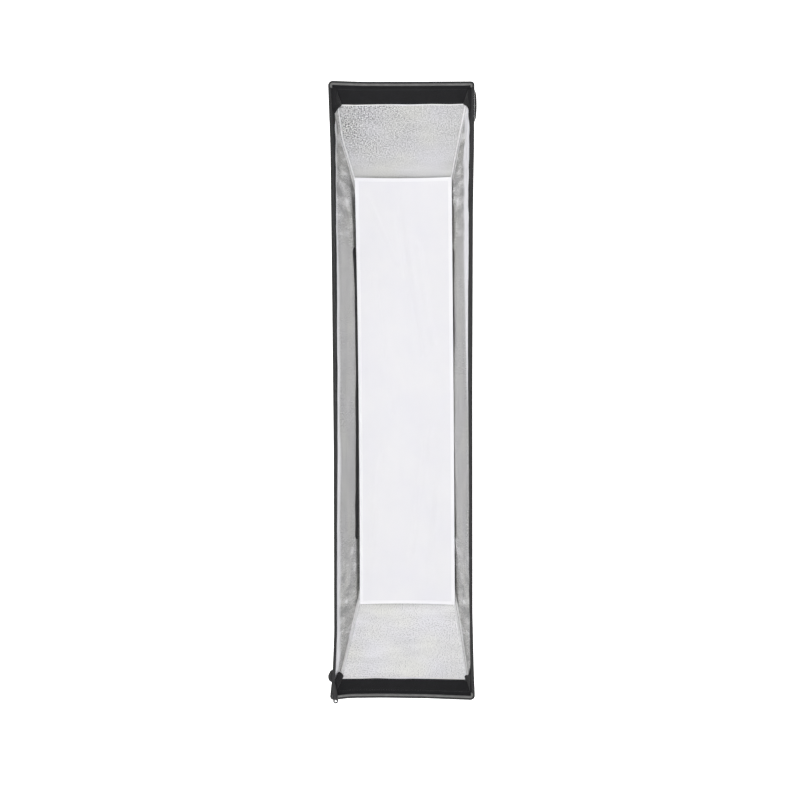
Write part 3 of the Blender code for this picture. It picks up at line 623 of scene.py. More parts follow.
def plated_steel(name, colour, roughness=0.32, metallic=0.95):
    """Bright steel, cloudy and finely scratched along its length."""
    look = Look(name, colour, roughness, metallic)
    where = look.place(by_uv=False)
    cloud = look.noise(where, 120)
    scratches = look.noise(look.place(by_uv=False, scale=(1, 12, 12)), 160, detail=5.0)
    base = look.mix(look.ramp(cloud, 0.0, 0.7, (0.35, 0.75)), colour, shaded(colour, 0.72))
    return look.finish(base, look.ramp(scratches, roughness - 0.08, roughness + 0.2, (0.3, 0.7)),
                       look.bump(scratches, 0.03 * MM, 0.5))


def moulded_plastic(name, colour):
    """Moulded nylon with a fine spark-eroded grain, rubbed smooth and paler on its edges."""
    look = Look(name, colour, 0.48)
    where = look.place(by_uv=False)
    grain = look.cells(where, 2200)
    rubbed = look.noise(where, 90)
    base = look.mix(look.ramp(rubbed, 0.0, 0.5, (0.45, 0.8)), colour, shaded(colour, 1.9))
    return look.finish(base, look.ramp(rubbed, 0.42, 0.58), look.bump(grain, 0.08 * MM, 0.5))


def thread(name, colour):
    """Twisted sewing thread."""
    look = Look(name, colour, 0.6, Sheen_Weight=0.3)
    twist = look.wave(look.place(by_uv=False, turn=0.8), 1800, "X")
    base = look.mix(look.ramp(twist, 0.0, 0.4), colour, shaded(colour, 0.5))
    return look.finish(base, None, look.bump(twist, 0.05 * MM, 0.6))


# painted light: one lining, in a different shade on each wall for how the light falls in the box:
# lightest on the bottom wall, darkest on the right
LINING_TOP = silver_lining("silver_lining_pebbled", 0.64, 3.3 * MM, 1.0, painted_speckle_from=0.54)
LINING_BOTTOM = silver_lining("silver_lining_fine", 0.93, 3.0 * MM, 0.4)
LINING_LEFT = silver_lining("silver_lining_left", 0.64, 3.0 * MM, 0.7, reflection_from=(0.395, 0.0),
                            mottled=0.85)
LINING_RIGHT = silver_lining("silver_lining_right", 0.60, 3.0 * MM, 0.7, reflection_from=(0.400, 0.13),
                             mottled=0.8)
# painted highlight: a much lighter copy of the lining, for its taut edges by the lips and in the
# corner seams
LINING_PAINTED_HIGHLIGHT = silver_lining("silver_lining_edge", 0.92, 2.4 * MM, 0.1)
NYLON = nylon("black_nylon_weave", (0.011, 0.011, 0.0125))
LOOP_TAPE = loop_pile("loop_tape_pile", (0.010, 0.010, 0.0115))
BINDING_DARK = binding("edge_binding_dark", (0.034, 0.034, 0.035))
BINDING_PALE = binding("edge_binding_pale", (0.165, 0.165, 0.163))
WHITE = diffusion("white_diffusion_cloth", (0.80, 0.795, 0.82), 0.15)
WHITE_HEM = diffusion("white_diffusion_hem", (0.87, 0.865, 0.885), 0.1)
ANODISED = turned_metal("black_anodised_aluminium", (0.075, 0.075, 0.08), 0.36)
CAST = powder_coat("black_powder_coat", (0.020, 0.020, 0.021))
ZINC = plated_steel("zinc_plated_steel", (0.60, 0.60, 0.62))
PLASTIC = moulded_plastic("black_moulded_nylon", (0.020, 0.020, 0.021))
# painted reflection: the rod's steel is made near-white with little metal, standing for the white
# studio it would mirror
ROD = plated_steel("bright_rod_steel", (0.93, 0.93, 0.94), 0.38, 0.45)
ELASTIC = binding("white_elastic", (0.72, 0.72, 0.73))
THREAD = thread("black_thread", (0.028, 0.028, 0.030))
WHITE_THREAD = thread("white_thread", (0.80, 0.80, 0.80))

# ---- lines, tubes and stitches


def path_frames(path, outwards):
    """Tangent, side and up directions along a path; up stays close to outwards."""
    tangent = unit(np.gradient(path, axis=0))
    up = np.broadcast_to(np.asarray(outwards, float), path.shape)
    up = unit(up - (up * tangent).sum(axis=1, keepdims=True) * tangent)
    return tangent, np.cross(tangent, up), up


def sweep(name, path, outwards, profile, looks, profile_looks=None):
    """A closed tube of the profile's (side, up) points along a path, with flat ends. The profile
    can also be a list of them, one for each point of the path."""
    path, profile = np.asarray(path, float), np.asarray(profile, float)
    _, side, up = path_frames(path, outwards)
    if profile.ndim == 2:
        profile = np.repeat(profile[None], len(path), axis=0)
    rings = path[:, None] + side[:, None] * profile[..., :1] + up[:, None] * profile[..., 1:]
    profile = profile[0]
    rows, columns = rings.shape[:2]
    points = rings.reshape(-1, 3)
    faces = grid_faces(rows, columns, closed=True)
    faces += [tuple(range(columns)), tuple(range(rows * columns - 1, (rows - 1) * columns - 1, -1))]
    along = np.append(0, np.cumsum(np.linalg.norm(np.diff(path, axis=0), axis=1)))
    around = np.append(0, np.cumsum(np.linalg.norm(np.diff(profile, axis=0), axis=1)))
    u, v = np.meshgrid(along, around, indexing="ij")
    uv = np.stack([u, v], axis=-1).reshape(-1, 2)
    index = None
    if profile_looks is not None:
        index = list(profile_looks) * (rows - 1) + [0, 0]
    obj = mesh_object(name, points, faces, looks, uv, index)
    bm = bmesh.new()
    bm.from_mesh(obj.data)
    bmesh.ops.recalc_face_normals(bm, faces=bm.faces[:])
    bm.to_mesh(obj.data)
    bm.free()
    for polygon in list(obj.data.polygons)[-2:]:
        polygon.use_smooth = False
    return obj


def circle(radius, count):
    """A round profile of that many points."""
    angles = np.linspace(0, 2 * math.pi, count, endpoint=False)
    return np.stack([radius * np.cos(angles), radius * np.sin(angles)], axis=1)


def smooth_path(points, count):
    """A path through the points with no corners, at an even spacing."""
    points = np.asarray(points, float)
    padded = np.concatenate([[2 * points[0] - points[1]], points, [2 * points[-1] - points[-2]]])
    dense = []
    for i in range(len(points) - 1):
        a, b, c, d = padded[i:i + 4]
        for t in np.linspace(0, 1, 20, endpoint=False):
            dense.append(0.5 * (2 * b + (c - a) * t + (2 * a - 5 * b + 4 * c - d) * t ** 2
                                + (3 * b - a - 3 * c + d) * t ** 3))
    dense.append(points[-1])
    return even(np.array(dense), count)


def even(path, count):
    """The same path through that many points at an even spacing."""
    lengths = np.append(0, np.cumsum(np.linalg.norm(np.diff(path, axis=0), axis=1)))
    at = np.linspace(0, lengths[-1], count)
    return np.stack([np.interp(at, lengths, path[:, k]) for k in range(3)], axis=1)


STITCH_RINGS = ((-1.0, 0.25), (-0.75, 0.8), (0.0, 1.0), (0.75, 0.8), (1.0, 0.25))
STITCH_SIDES = 5


def stitches(name, path, outwards, look, pitch=4.2 * MM, length=3.0 * MM, radius=0.32 * MM):
    """A row of sewn stitches: short rounded bars that dip into the cloth at both ends."""
    path = np.asarray(path, float)
    total = np.linalg.norm(np.diff(path, axis=0), axis=1).sum()
    count = max(2, int(total / pitch))
    centres = even(path, count * 2 + 1)[1::2]
    outwards = np.asarray(outwards, float)
    if outwards.ndim == 2:
        rows = np.linspace(0, len(outwards) - 1, count).round().astype(int)
        outwards = outwards[rows]
    tangent, side, up = path_frames(centres, outwards)
    points, faces = [], []
    for k in range(count):
        first = len(points)
        for along, width in STITCH_RINGS:
            lift = radius * (0.35 - 0.6 * along * along)
            for a in np.linspace(0, 2 * math.pi, STITCH_SIDES, endpoint=False):
                points.append(centres[k] + tangent[k] * along * length / 2
                              + side[k] * radius * width * math.cos(a)
                              + up[k] * (radius * width * math.sin(a) + lift))
        rings = grid_faces(len(STITCH_RINGS), STITCH_SIDES, closed=True)
        faces += [tuple(first + i for i in f[::-1]) for f in rings]
        last = first + (len(STITCH_RINGS) - 1) * STITCH_SIDES
        faces.append(tuple(range(first, first + STITCH_SIDES)))
        faces.append(tuple(range(last + STITCH_SIDES - 1, last - 1, -1)))
    return mesh_object(name, points, faces, [look])


def stand_for(nodes):
    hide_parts(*nodes)


def trim(obj, body):
    """A piece that no CAD node stands for: hangs it on the body that carries it."""
    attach(obj, body)


# ---- end walls

END_ROWS, END_COLUMNS = 150, 61
SIDE_NAMES = {-1: "left", 1: "right"}
END_NAMES = {-1: "bottom", 1: "top"}


def arc_length(values):
    """The distance along a line of points, at each of them."""
    return np.append(0, np.cumsum(np.linalg.norm(np.diff(values, axis=0), axis=-1)))


def end_wall_grid(sign_z, lift=0.0, start=0.0, end=1.0, rows=END_ROWS, columns=END_COLUMNS,
                  inset=0.0, tuck=1.2 * MM):
    """Points on an end wall's lining, lifted inwards, with a soft billow between its seams.
    The last rows turn up into the rim, that far past its back."""
    u = np.linspace(start, end, rows)
    left = box_point(u, inset, lift, -1, sign_z)
    right = box_point(u, inset, lift, 1, sign_z)
    across = np.linspace(0, 1, columns)[None, :, None]
    points = left[:, None] * (1 - across) + right[:, None] * across
    share = 4 * across[..., 0] * (1 - across[..., 0])
    billow = soft_noise(points, 95 * MM, 3 + sign_z) * 1.4 * MM
    billow += soft_noise(points, 38 * MM, 7 + sign_z) * 0.5 * MM
    angle = seam_angle(u)[:, None]
    calm = share * np.clip((seam_forward(u)[:, None] - REAR) / (60 * MM), 0, 1)
    calm = calm * np.clip((FRONT - seam_forward(u)[:, None]) / (40 * MM), 0.25, 1)
    points[..., 1] -= billow * calm * np.sin(angle)
    points[..., 2] -= sign_z * billow * calm * np.cos(angle)
    last = points[-1].copy()
    last[:, 1] = HINGE_Y - RIM_BACK - tuck
    last[:, 2] = sign_z * (RIM_HALF_HEIGHT - RIM_BAND_TOP + tuck / 2)
    points = np.concatenate([points, [points[-1] * 0.4 + last * 0.6, last]])
    uv_u = arc_length(points[:, 0, 1:])
    uv = np.stack([np.broadcast_to(uv_u[:, None], points.shape[:2]), points[..., 0]], axis=-1)
    return warp(points), uv


LIP_NARROWER = {-1: 6 * MM, 1: 0}     # the bottom lip's tape is a little narrower than the top's
LIP_ROWS, LIP_COLUMNS = 14, 90
HIGHLIGHT_EDGE_WIDTH = 5 * MM                    # width of the lining's turned edge along a lip, painted bright as a highlight


def build_end_wall(sign_z):
    """The top or bottom wall, in one piece, and its lip."""
    side = END_NAMES[sign_z]
    body = f"rod_{side}_left"
    points, uv = end_wall_grid(sign_z)
    sheet = grid_sheet(points, uv, (0, 0.5, sign_z))
    lining = LINING_TOP if sign_z > 0 else LINING_BOTTOM
    wall = shell(f"{side}_wall_cloth", sheet, WALL, lining, NYLON)
    stand_for([f"wall_{side}"])
    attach(wall, body)
    declare(wall, sheet, [f"rod_{side}_left", f"rod_{side}_right"])
    build_end_lip(sign_z, wall)


def build_end_lip(sign_z, wall):
    """The loop tape inside an end wall's front edge, its stitches, and the lining's edge by it,
    painted bright as a highlight.
    """
    side = END_NAMES[sign_z]
    body = f"rod_{side}_left"
    start = float(seam_parameter(HINGE_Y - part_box(f"lip_{side}")[1].y + LIP_NARROWER[sign_z]))
    end = float(seam_parameter(FRONT - MM))
    points, uv = end_wall_grid(sign_z, GAP, start, end, LIP_ROWS, LIP_COLUMNS, 1.5 * MM, 3 * MM)
    wave = soft_noise(points[0], 45 * MM, 11 + sign_z) * 1.1 * MM
    towards = unit(points[0] - points[-1])
    points[0] += towards * wave[:, None]
    sheet = grid_sheet(points, uv, (0, -0.5, -sign_z))
    lip = shell(f"{side}_loop_tape", sheet, TAPE_THICKNESS, LOOP_TAPE)
    stand_for([f"lip_{side}"])
    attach(lip, body)
    declare(lip, sheet, [wall.name])
    face = (sheet.points + sheet.normals * TAPE_THICKNESS).reshape(points.shape)
    normals = sheet.normals.reshape(points.shape)
    pale = points[0] - towards * 1.0 * MM + normals[0] * 0.4 * MM
    edge = sweep(f"{side}_lining_edge", pale + towards * HIGHLIGHT_EDGE_WIDTH / 2, normals[0],
                 strap_profile(HIGHLIGHT_EDGE_WIDTH, 0.7 * MM), [LINING_PAINTED_HIGHLIGHT])
    trim(edge, body)
    for name, row in (("rear", 1), ("front", LIP_ROWS - 2)):
        sewn = stitches(f"{side}_tape_stitches_{name}", face[row], normals[row], THREAD)
        trim(sewn, body)


# ---- side walls

SIDE_ROWS, SIDE_COLUMNS = 90, 241
# How much narrower than the CAD's each long side's loop tape is
SIDE_LIP_NARROWER = {-1: 6.3 * MM, 1: 3 * MM}
SIDE_LIP_TILT = {-1: 8 * MM, 1: 3 * MM}  # and wider at the top, narrower at the bottom
HOOK_TAPE_NARROWER = 7 * MM
FOLD_LENGTH, FOLD_WIDTH = 160 * MM, 55 * MM  # of the lining's long folds, along and across them
CRUMPLED_FROM, CRUMPLED_OVER = 330 * MM, 120 * MM  # heights where short crumples set in
SLACK_HEIGHTS = (455, 487, 516)       # of three slack creases on the right, by the top corner
SLACK_FORWARD, SLACK_STEP = 222 * MM, 6 * MM
SLACK_RUN = (38 * MM, 44 * MM)        # each runs this far forward and up
TAPES = {s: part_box(f"hook_tape_{SIDE_NAMES[s]}") for s in (-1, 1)}
TAPE_LOW, TAPE_HIGH = TAPES[1][0].z, TAPES[1][1].z


def pulled_creases(front_edge, end, sign_z):
    """The creases pulled to the hook tape's end: each one's two ends as (forward, height), and
    its height and width in mm."""
    tape_end = (front_edge, end)
    return (
        ((FRONT - 12 * MM, sign_z * (FRONT_HEIGHT - 50 * MM)), tape_end, 2.2, 7),
        ((FRONT - 30 * MM, sign_z * (FRONT_HEIGHT - 40 * MM)),
         (front_edge, end + sign_z * 60 * MM), -1.4, 6),
        ((BAFFLE_FORWARD, sign_z * BAFFLE_HALF_HEIGHT), (front_edge - 8 * MM, end), 1.8, 6),
        (tape_end, (FRONT - 25 * MM, end), 1.2, 4),
    )


def side_folds(forward, height, sign_x):
    """How far the side lining stands in from its flat shape: long soft folds and pulled creases."""
    points = np.stack([forward / FOLD_WIDTH * FOLD_LENGTH, np.full_like(forward, sign_x * 5.0),
                       height], axis=-1)
    folds = soft_noise(points, FOLD_LENGTH, 21.0) * 2.2 * MM
    folds += soft_noise(points, 60 * MM, 4.0) * 0.9 * MM
    crumpled = np.clip((abs(height) - CRUMPLED_FROM) / CRUMPLED_OVER, 0, 1)
    folds += soft_noise(points * (1, 1, 0.8), 26 * MM, 9.0) * 1.7 * MM * crumpled
    front_edge = HINGE_Y - TAPES[sign_x][0].y
    for sign_z, end in ((1, TAPE_HIGH), (-1, TAPE_LOW)):
        for start, stop, stands, width in pulled_creases(front_edge, end, sign_z):
            folds += stands * MM * ridge(forward, height, start, stop, width * MM)
    if sign_x > 0:
        for k, slack in enumerate(SLACK_HEIGHTS):
            start = (SLACK_FORWARD + SLACK_STEP * k, slack * MM)
            stop = (start[0] + SLACK_RUN[0], start[1] + SLACK_RUN[1])
            folds += 2.4 * MM * ridge(forward, height, start, stop, 5 * MM)
    return folds


def side_point(forward, height, from_side, sign_x):
    """A point of a side wall before the cloth sags, from_side inwards of the lining."""
    width = half_width(forward) - from_side * SIDE_STRETCH
    return np.stack([sign_x * width, HINGE_Y - forward, height + 0 * forward], axis=-1)


def side_surface(forward, height, sign_x, lift=0.0):
    """The side lining at a forward distance and height, lifted inwards."""
    seam_z = seam_height(seam_parameter(forward))
    edge_gap = np.minimum(seam_z - np.abs(height), FRONT + 4 * MM - forward)
    calm = np.clip(edge_gap / (35 * MM), 0, 1) * np.clip((forward - REAR) / (50 * MM), 0, 1)
    folds = side_folds(forward, height, sign_x) * calm * calm * (3 - 2 * calm)
    return warp(side_point(forward, height, lift + folds, sign_x))


def build_side_wall(sign_x):
    """A long wall in four pieces: each half is cut along the diagonal between hub and corner."""
    side = SIDE_NAMES[sign_x]
    u = np.linspace(0, 1, SIDE_ROWS)[:, None]
    share = np.linspace(-1, 1, SIDE_COLUMNS)[None, :]
    forward = seam_forward(u) + 0 * share
    height = seam_height(u) * share
    points = side_surface(forward, height, sign_x)
    uv = np.stack([forward * SIDE_STRETCH, height], axis=-1)
    whole = grid_sheet(points, uv, (sign_x, 0, 0))
    lining = LINING_LEFT if sign_x < 0 else LINING_RIGHT
    for sign_z, half in zip((-1, 1), split(whole, (0, 0, 0), (0, 0, 1))):
        corner = corner_name(sign_x, sign_z)
        over_diagonal = (0, sign_z * FRONT_HEIGHT, FRONT - REAR)
        low, high = split(half, (0, HINGE_Y - REAR, 0), over_diagonal)
        low, high = sort_by_diagonal(low, high, sign_z)
        for name, part, follow in (("front", low, follow_front), ("seam", high, follow_seam)):
            wall = shell(f"{corner}_side_cloth_{name}", part, WALL, lining, NYLON)
            stand_for([f"wall_{side}"])
            declare(wall, part, [f"rod_{corner}"])
            follow(wall, sign_x, sign_z)


def sort_by_diagonal(a, b, sign_z):
    """The part below the diagonal first."""
    def above(part):
        middle = part.points.mean(axis=0)
        forward = HINGE_Y - middle[1] - REAR
        return sign_z * middle[2] > FRONT_HEIGHT * forward / (FRONT - REAR)
    return (b, a) if above(a) else (a, b)


def side_strip(name, sign_x, sign_z, forwards, ends, lift, thickness, look, wavy=0.0):
    """A tape along half of a side wall, between two forward distances, up to the height ends or,
    where that is None, up to the corner seam."""
    rows, columns = 7, 120
    forward = np.linspace(*forwards, rows)[:, None] + np.zeros(columns)
    if ends is None:
        ends = sign_z * (seam_height(seam_parameter(forward)) - 2 * MM)
    height = np.linspace(0, 1, columns) * ends + 0 * forward
    if wavy:
        points = np.stack([0 * height[0], 0 * height[0], height[0]], axis=-1)
        forward[0] += soft_noise(points, 40 * MM, 31.0 + sign_x) * wavy
        forward[0] -= SIDE_LIP_TILT[sign_x] * np.clip(height[0] / (600 * MM), -1, 1)
        forward = forward[0] + (forward[-1] - forward[0]) * np.linspace(0, 1, rows)[:, None]
    points = side_surface(forward, height, sign_x, lift)
    uv = np.stack([forward, height], axis=-1)
    sheet = grid_sheet(points, uv, (-sign_x, 0, 0))
    strip = shell(name, sheet, thickness, look)
    declare(strip, sheet, [f"{corner_name(sign_x, sign_z)}_side_cloth_front"])
    follow_front(strip, sign_x, sign_z)
    face = (sheet.points + sheet.normals * thickness).reshape(points.shape)
    return strip, face, sheet.normals.reshape(points.shape)


def build_side_tapes(sign_x):
    """The loop tape along a long side's lip and the hook tape beside the baffle, in halves."""
    side = SIDE_NAMES[sign_x]
    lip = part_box(f"lip_{side}")
    tape = TAPES[sign_x]
    for sign_z in (-1, 1):
        corner = corner_name(sign_x, sign_z)
        forwards = (HINGE_Y - lip[1].y + SIDE_LIP_NARROWER[sign_x], HINGE_Y - lip[0].y)
        strip, face, normals = side_strip(f"{corner}_side_loop_tape", sign_x, sign_z, forwards,
                                          None, GAP, TAPE_THICKNESS, LOOP_TAPE, 0.8 * MM)
        stand_for([f"lip_{side}"])
        rows = [("side_tape_stitches_rear", face[1], normals[1]),
                ("side_tape_stitches_front", face[-2], normals[-2])]
        forwards = (HINGE_Y - tape[1].y, HINGE_Y - tape[0].y - HOOK_TAPE_NARROWER)
        ends = tape[1].z if sign_z > 0 else tape[0].z
        strip, face, normals = side_strip(f"{corner}_hook_tape", sign_x, sign_z, forwards, ends,
                                          GAP, TAPE_THICKNESS, LOOP_TAPE)
        stand_for([f"hook_tape_{side}"])
        rows += [("hook_tape_stitches_rear", face[1], normals[1]),
                 ("hook_tape_stitches_front", face[-2], normals[-2])]
        for name, path, up in rows:
            sewn = stitches(f"{corner}_{name}", path, up, THREAD)
            follow_front(sewn, sign_x, sign_z)


# ---- rim

CORNER_RADII = {"top_left": 12 * MM, "top_right": 9 * MM, "bottom_left": 10 * MM,
                "bottom_right": 12 * MM}
SIDE_WELT = RIM_BAND_SIDE - 1.6 * MM  # the long sides' welts are pulled a little thinner
RIM_LEAD = 6 * MM                     # how far an end's welt runs on past its corners' arcs
RIM_OVERLAP = 1 * MM                  # and how far a long side's welt reaches over it


def welt_profile(band):
    """(side, up) points of a bound welt: up is outwards from the mouth, side is forward."""
    half = band / 2
    deep = RIM_DEPTH
    outline = [(0.8 * MM, -half), (deep - 2.4 * MM, -half), (deep - 0.9 * MM, -half + 0.7 * MM),
               (deep, -half + 2.1 * MM), (deep - 0.3 * MM, -0.9 * MM), (deep - 1.1 * MM, -0.3 * MM),
               (deep - 0.5 * MM, 0.4 * MM), (deep - 0.1 * MM, half - 3.0 * MM),
               (deep - 0.8 * MM, half - 1.2 * MM), (deep - 2.4 * MM, half - 0.2 * MM),
               (deep - 3.6 * MM, half), (0.8 * MM, half), (0.0, half - 0.8 * MM),
               (0.0, -half + 0.8 * MM)]
    return np.array(outline)


# Which of the profile's faces are on the tape's inner fold (1), and which on its outer one (0)
WELT_LOOKS = (1, 1, 1, 1, 1, 0, 0, 0, 0, 0, 0, 0, 0, 1)


def rim_sweep(name, path, outwards, band, nodes, looks):
    """A welt along a path in the mouth's plane; outwards gives its outer side at each point."""
    profile = welt_profile(band)
    path = np.asarray(path, float)
    _, side, _ = path_frames(path, outwards)
    if side[:, 1].mean() > 0:         # the profile's side axis has to point forward, to -Y
        path, outwards = path[::-1], np.asarray(outwards, float)[::-1]
    rim = sweep(name, path, outwards, profile, looks, WELT_LOOKS)
    stand_for(nodes)
    _, side, up = path_frames(path, outwards)
    sewn_path = path + side * (RIM_DEPTH - 0.75 * MM) - up * 0.3 * MM
    sewn = stitches(f"{name}_stitches", sewn_path[1:-1], side[1:-1], THREAD, 3.6 * MM, 2.7 * MM,
                    0.3 * MM)
    return rim, sewn


def end_rim_outline(sign_z):
    """The middle line of a short end's welt, round both corners, and its outward directions."""
    back = HINGE_Y - RIM_BACK
    points, ups = [], []
    for sign_x in (-1, 1):
        radius = CORNER_RADII[corner_name(sign_x, sign_z)]
        centre = (RIM_HALF_WIDTH - radius, RIM_HALF_HEIGHT - radius)
        inner = radius - RIM_BAND_TOP / 2
        corner_points = [(sign_x * (centre[0] + inner), back, sign_z * (centre[1] - RIM_LEAD))]
        corner_ups = [(sign_x, 0, 0)]
        for degrees in np.linspace(0, 90, 13):
            c, s = math.cos(math.radians(degrees)), math.sin(math.radians(degrees))
            corner_points.append((sign_x * (centre[0] + inner * c), back,
                                  sign_z * (centre[1] + inner * s)))
            corner_ups.append((sign_x * c, 0, sign_z * s))
        if sign_x > 0:
            middle = np.linspace(points[-1][0], corner_points[-1][0], 60)[1:-1]
            points += [(x, back, corner_points[-1][2]) for x in middle]
            ups += [(0, 0, sign_z)] * len(middle)
            corner_points, corner_ups = corner_points[::-1], corner_ups[::-1]
        points += corner_points
        ups += corner_ups
    return points, ups


def build_rims():
    """The welt round the mouth: the short ends with their corners, and the long sides in halves."""
    back = HINGE_Y - RIM_BACK
    for sign_z in (-1, 1):
        side = END_NAMES[sign_z]
        points, ups = end_rim_outline(sign_z)
        pieces = rim_sweep(f"{side}_rim", warp(points, flared=False), ups, RIM_BAND_TOP,
                           [f"rim_{side}"], [BINDING_DARK, BINDING_PALE])
        for piece in pieces:
            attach(piece, f"rod_{side}_left")
    for sign_x in (-1, 1):
        side = SIDE_NAMES[sign_x]
        for sign_z in (-1, 1):
            corner = corner_name(sign_x, sign_z)
            top = RIM_HALF_HEIGHT - CORNER_RADII[corner] - RIM_LEAD + RIM_OVERLAP
            x = sign_x * (RIM_HALF_WIDTH - SIDE_WELT / 2)
            path = warp([(x, back, sign_z * z) for z in np.linspace(0, top, 90)], flared=False)
            ups = [(sign_x, 0, 0)] * len(path)
            pieces = rim_sweep(f"{corner}_side_rim", path, ups, SIDE_WELT, [f"rim_{side}"],
                               [BINDING_DARK, BINDING_DARK])
            for piece in pieces:
                follow_front(piece, sign_x, sign_z)


# ---- rods, pockets and seams

ROD_RADIUS = 2.5 * MM
STRAP_WIDTH, STRAP_THICKNESS = 6 * MM, 0.8 * MM
TIP_FORWARD = (385 * MM, 412 * MM)    # over this the rod comes back to its tip's straight seat
SLEEVE_FORWARD = (386 * MM, 424 * MM)  # the part of the rod inside the pocket's cloth sleeve
SLEEVE_CLOTH = 0.9 * MM
TIE_FORWARD = 247 * MM                # where a baffle corner's elastic goes round its rod
TIE_SEWN = (8 * MM, 1.4 * MM, 7 * MM)  # from that corner inwards, backwards and to mid-height
TIE_TURN = (60, 395)                  # degrees round the rod, from the side nearest the baffle


def rod_path(corner, count=80):
    """The rod's line: a smooth curve fitted through the middle of the CAD rod."""
    points = cad_points(f"rod_{corner}")
    ends = points[np.argmax(points[:, 1])], points[np.argmin(points[:, 1])]
    run = ends[1] - ends[0]
    along = (points - ends[0]) @ run / (run @ run)
    at = np.linspace(along.min(), along.max(), count)
    return np.stack([np.polyval(np.polyfit(along, points[:, k], 5), at) for k in range(3)], axis=1)


def strap_profile(width, thickness):
    """(side, up) points of a flat strap with rounded edges."""
    half, thin = width / 2, thickness / 2
    return [(-half, 0), (-half + thin, thin), (half - thin, thin), (half, 0), (half - thin, -thin),
            (-half + thin, -thin)]


def build_rod(corner, sign_x, sign_z):
    """The rod, and the cloth sleeve that the pocket has round its end."""
    path = rod_path(corner)
    straight = smoothstep(HINGE_Y - path[:, 1], *TIP_FORWARD)[:, None]
    path = warp(path, flared=False) * (1 - straight) + path * straight
    rod = sweep(f"{corner}_rod", path, (sign_x, 0, sign_z * 0.3), circle(ROD_RADIUS, 16), [ROD])
    stand_for([f"rod_{corner}"])
    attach(rod, f"rod_{corner}")
    forward = HINGE_Y - path[:, 1]
    inside = path[(forward > SLEEVE_FORWARD[0]) & (forward < SLEEVE_FORWARD[1])]
    sleeve = sweep(f"{corner}_rod_sleeve", even(inside, 20), (sign_x, 0, sign_z * 0.3),
                   circle(ROD_RADIUS + SLEEVE_CLOTH, 16), [NYLON])
    trim(sleeve, f"rod_{corner}")
    build_tie(corner, sign_x, sign_z, path)


def build_tie(corner, sign_x, sign_z, path):
    """The elastic from behind the baffle's corner, round the rod and back on itself."""
    k = int(np.argmin(abs(path[:, 1] - (HINGE_Y - TIE_FORWARD))))
    tangent = unit(path[k + 1] - path[k - 1])
    in_x, back, in_z = TIE_SEWN
    hold = np.array(baffle_corner(sign_x, sign_z)) + (-sign_x * in_x, back, -sign_z * in_z)
    inwards = hold - path[k]
    inwards = unit(inwards - (inwards @ tangent) * tangent)
    around = np.cross(tangent, inwards)
    radius = ROD_RADIUS + STRAP_THICKNESS * 0.7
    loop = [path[k] + radius * (math.cos(a) * inwards + math.sin(a) * around)
            for a in np.radians(np.linspace(*TIE_TURN, 22))]
    route = smooth_path([hold, hold * 0.5 + loop[0] * 0.5] + loop, 70)
    strap = sweep(f"{corner}_baffle_elastic", route, np.cross(np.gradient(route, axis=0), tangent),
                  strap_profile(STRAP_WIDTH, STRAP_THICKNESS), [ELASTIC])
    stand_for([f"baffle_strap_{corner}"])
    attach(strap, f"rod_{corner}")


# How far each pocket reaches from its corner, down the side wall and across the end wall
POCKET_LEGS = {"top_left": (30 * MM, 12 * MM), "top_right": (29 * MM, 9 * MM),
               "bottom_left": (20 * MM, 8 * MM), "bottom_right": (29 * MM, 5 * MM)}
# The smaller, the fuller each pocket's outline bows out between its two legs
POCKET_ROUNDNESS = {"top_left": 0.85, "top_right": 0.85, "bottom_left": 1.0,
                    "bottom_right": 0.95}
POCKET_LIFT = 2.8 * MM                # off the walls, so that it clears the tapes
POCKET_REAR = (404 * MM, 389 * MM)    # how far forward its rear edge is, on the side and end wall
# How much further forward that edge is, halfway round the corner
POCKET_SCOOP = {"top_left": 9 * MM, "top_right": 12 * MM, "bottom_left": 2 * MM,
                "bottom_right": 11 * MM}
POCKET_COLUMNS = 17
# How far forward each row is, and how far out: the last ones close the pocket's front end
POCKET_ROWS = [(share, 1.0) for share in np.linspace(0, 1, 12)]
POCKET_ROWS += [(1.0, left) for left in (0.8, 0.6, 0.4, 0.2, 0.05)]


def build_pocket(corner, sign_x, sign_z):
    """The sleeve of black cloth across a corner of the mouth, which the rod's tip sits in."""
    across = np.linspace(0, 1, POCKET_COLUMNS)
    rear = POCKET_REAR[0] + (POCKET_REAR[1] - POCKET_REAR[0]) * across
    rear += POCKET_SCOOP[corner] * np.sin(math.pi * across)
    down, over = POCKET_LEGS[corner]
    cos, sin = np.cos(across * math.pi / 2), np.sin(across * math.pi / 2)
    rows = []
    for share, left in POCKET_ROWS:
        forward = rear * (1 - share) + (FRONT - 0.5 * MM) * share
        from_side = left * (POCKET_LIFT + over * abs(sin) ** POCKET_ROUNDNESS[corner])
        from_top = left * (POCKET_LIFT + down * abs(cos) ** POCKET_ROUNDNESS[corner])
        u = seam_parameter(forward - from_top * np.sin(seam_angle(1.0)))
        rows.append(box_point(u, from_side, from_top, sign_x, sign_z))
    sheet = grid_sheet(warp(rows), None, (sign_x, 0, sign_z))
    pocket = shell(f"{corner}_corner_pocket", sheet, 0.8 * MM, NYLON)
    stand_for([f"corner_pocket_{corner}"])
    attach(pocket, f"rod_{corner}")
    declare(pocket, sheet, [f"rod_{corner}"])
    points, normals = (a.reshape(-1, POCKET_COLUMNS, 3)[1] for a in (sheet.points, sheet.normals))
    sewn = stitches(f"{corner}_pocket_stitches", points, -normals, THREAD)
    trim(sewn, f"rod_{corner}")


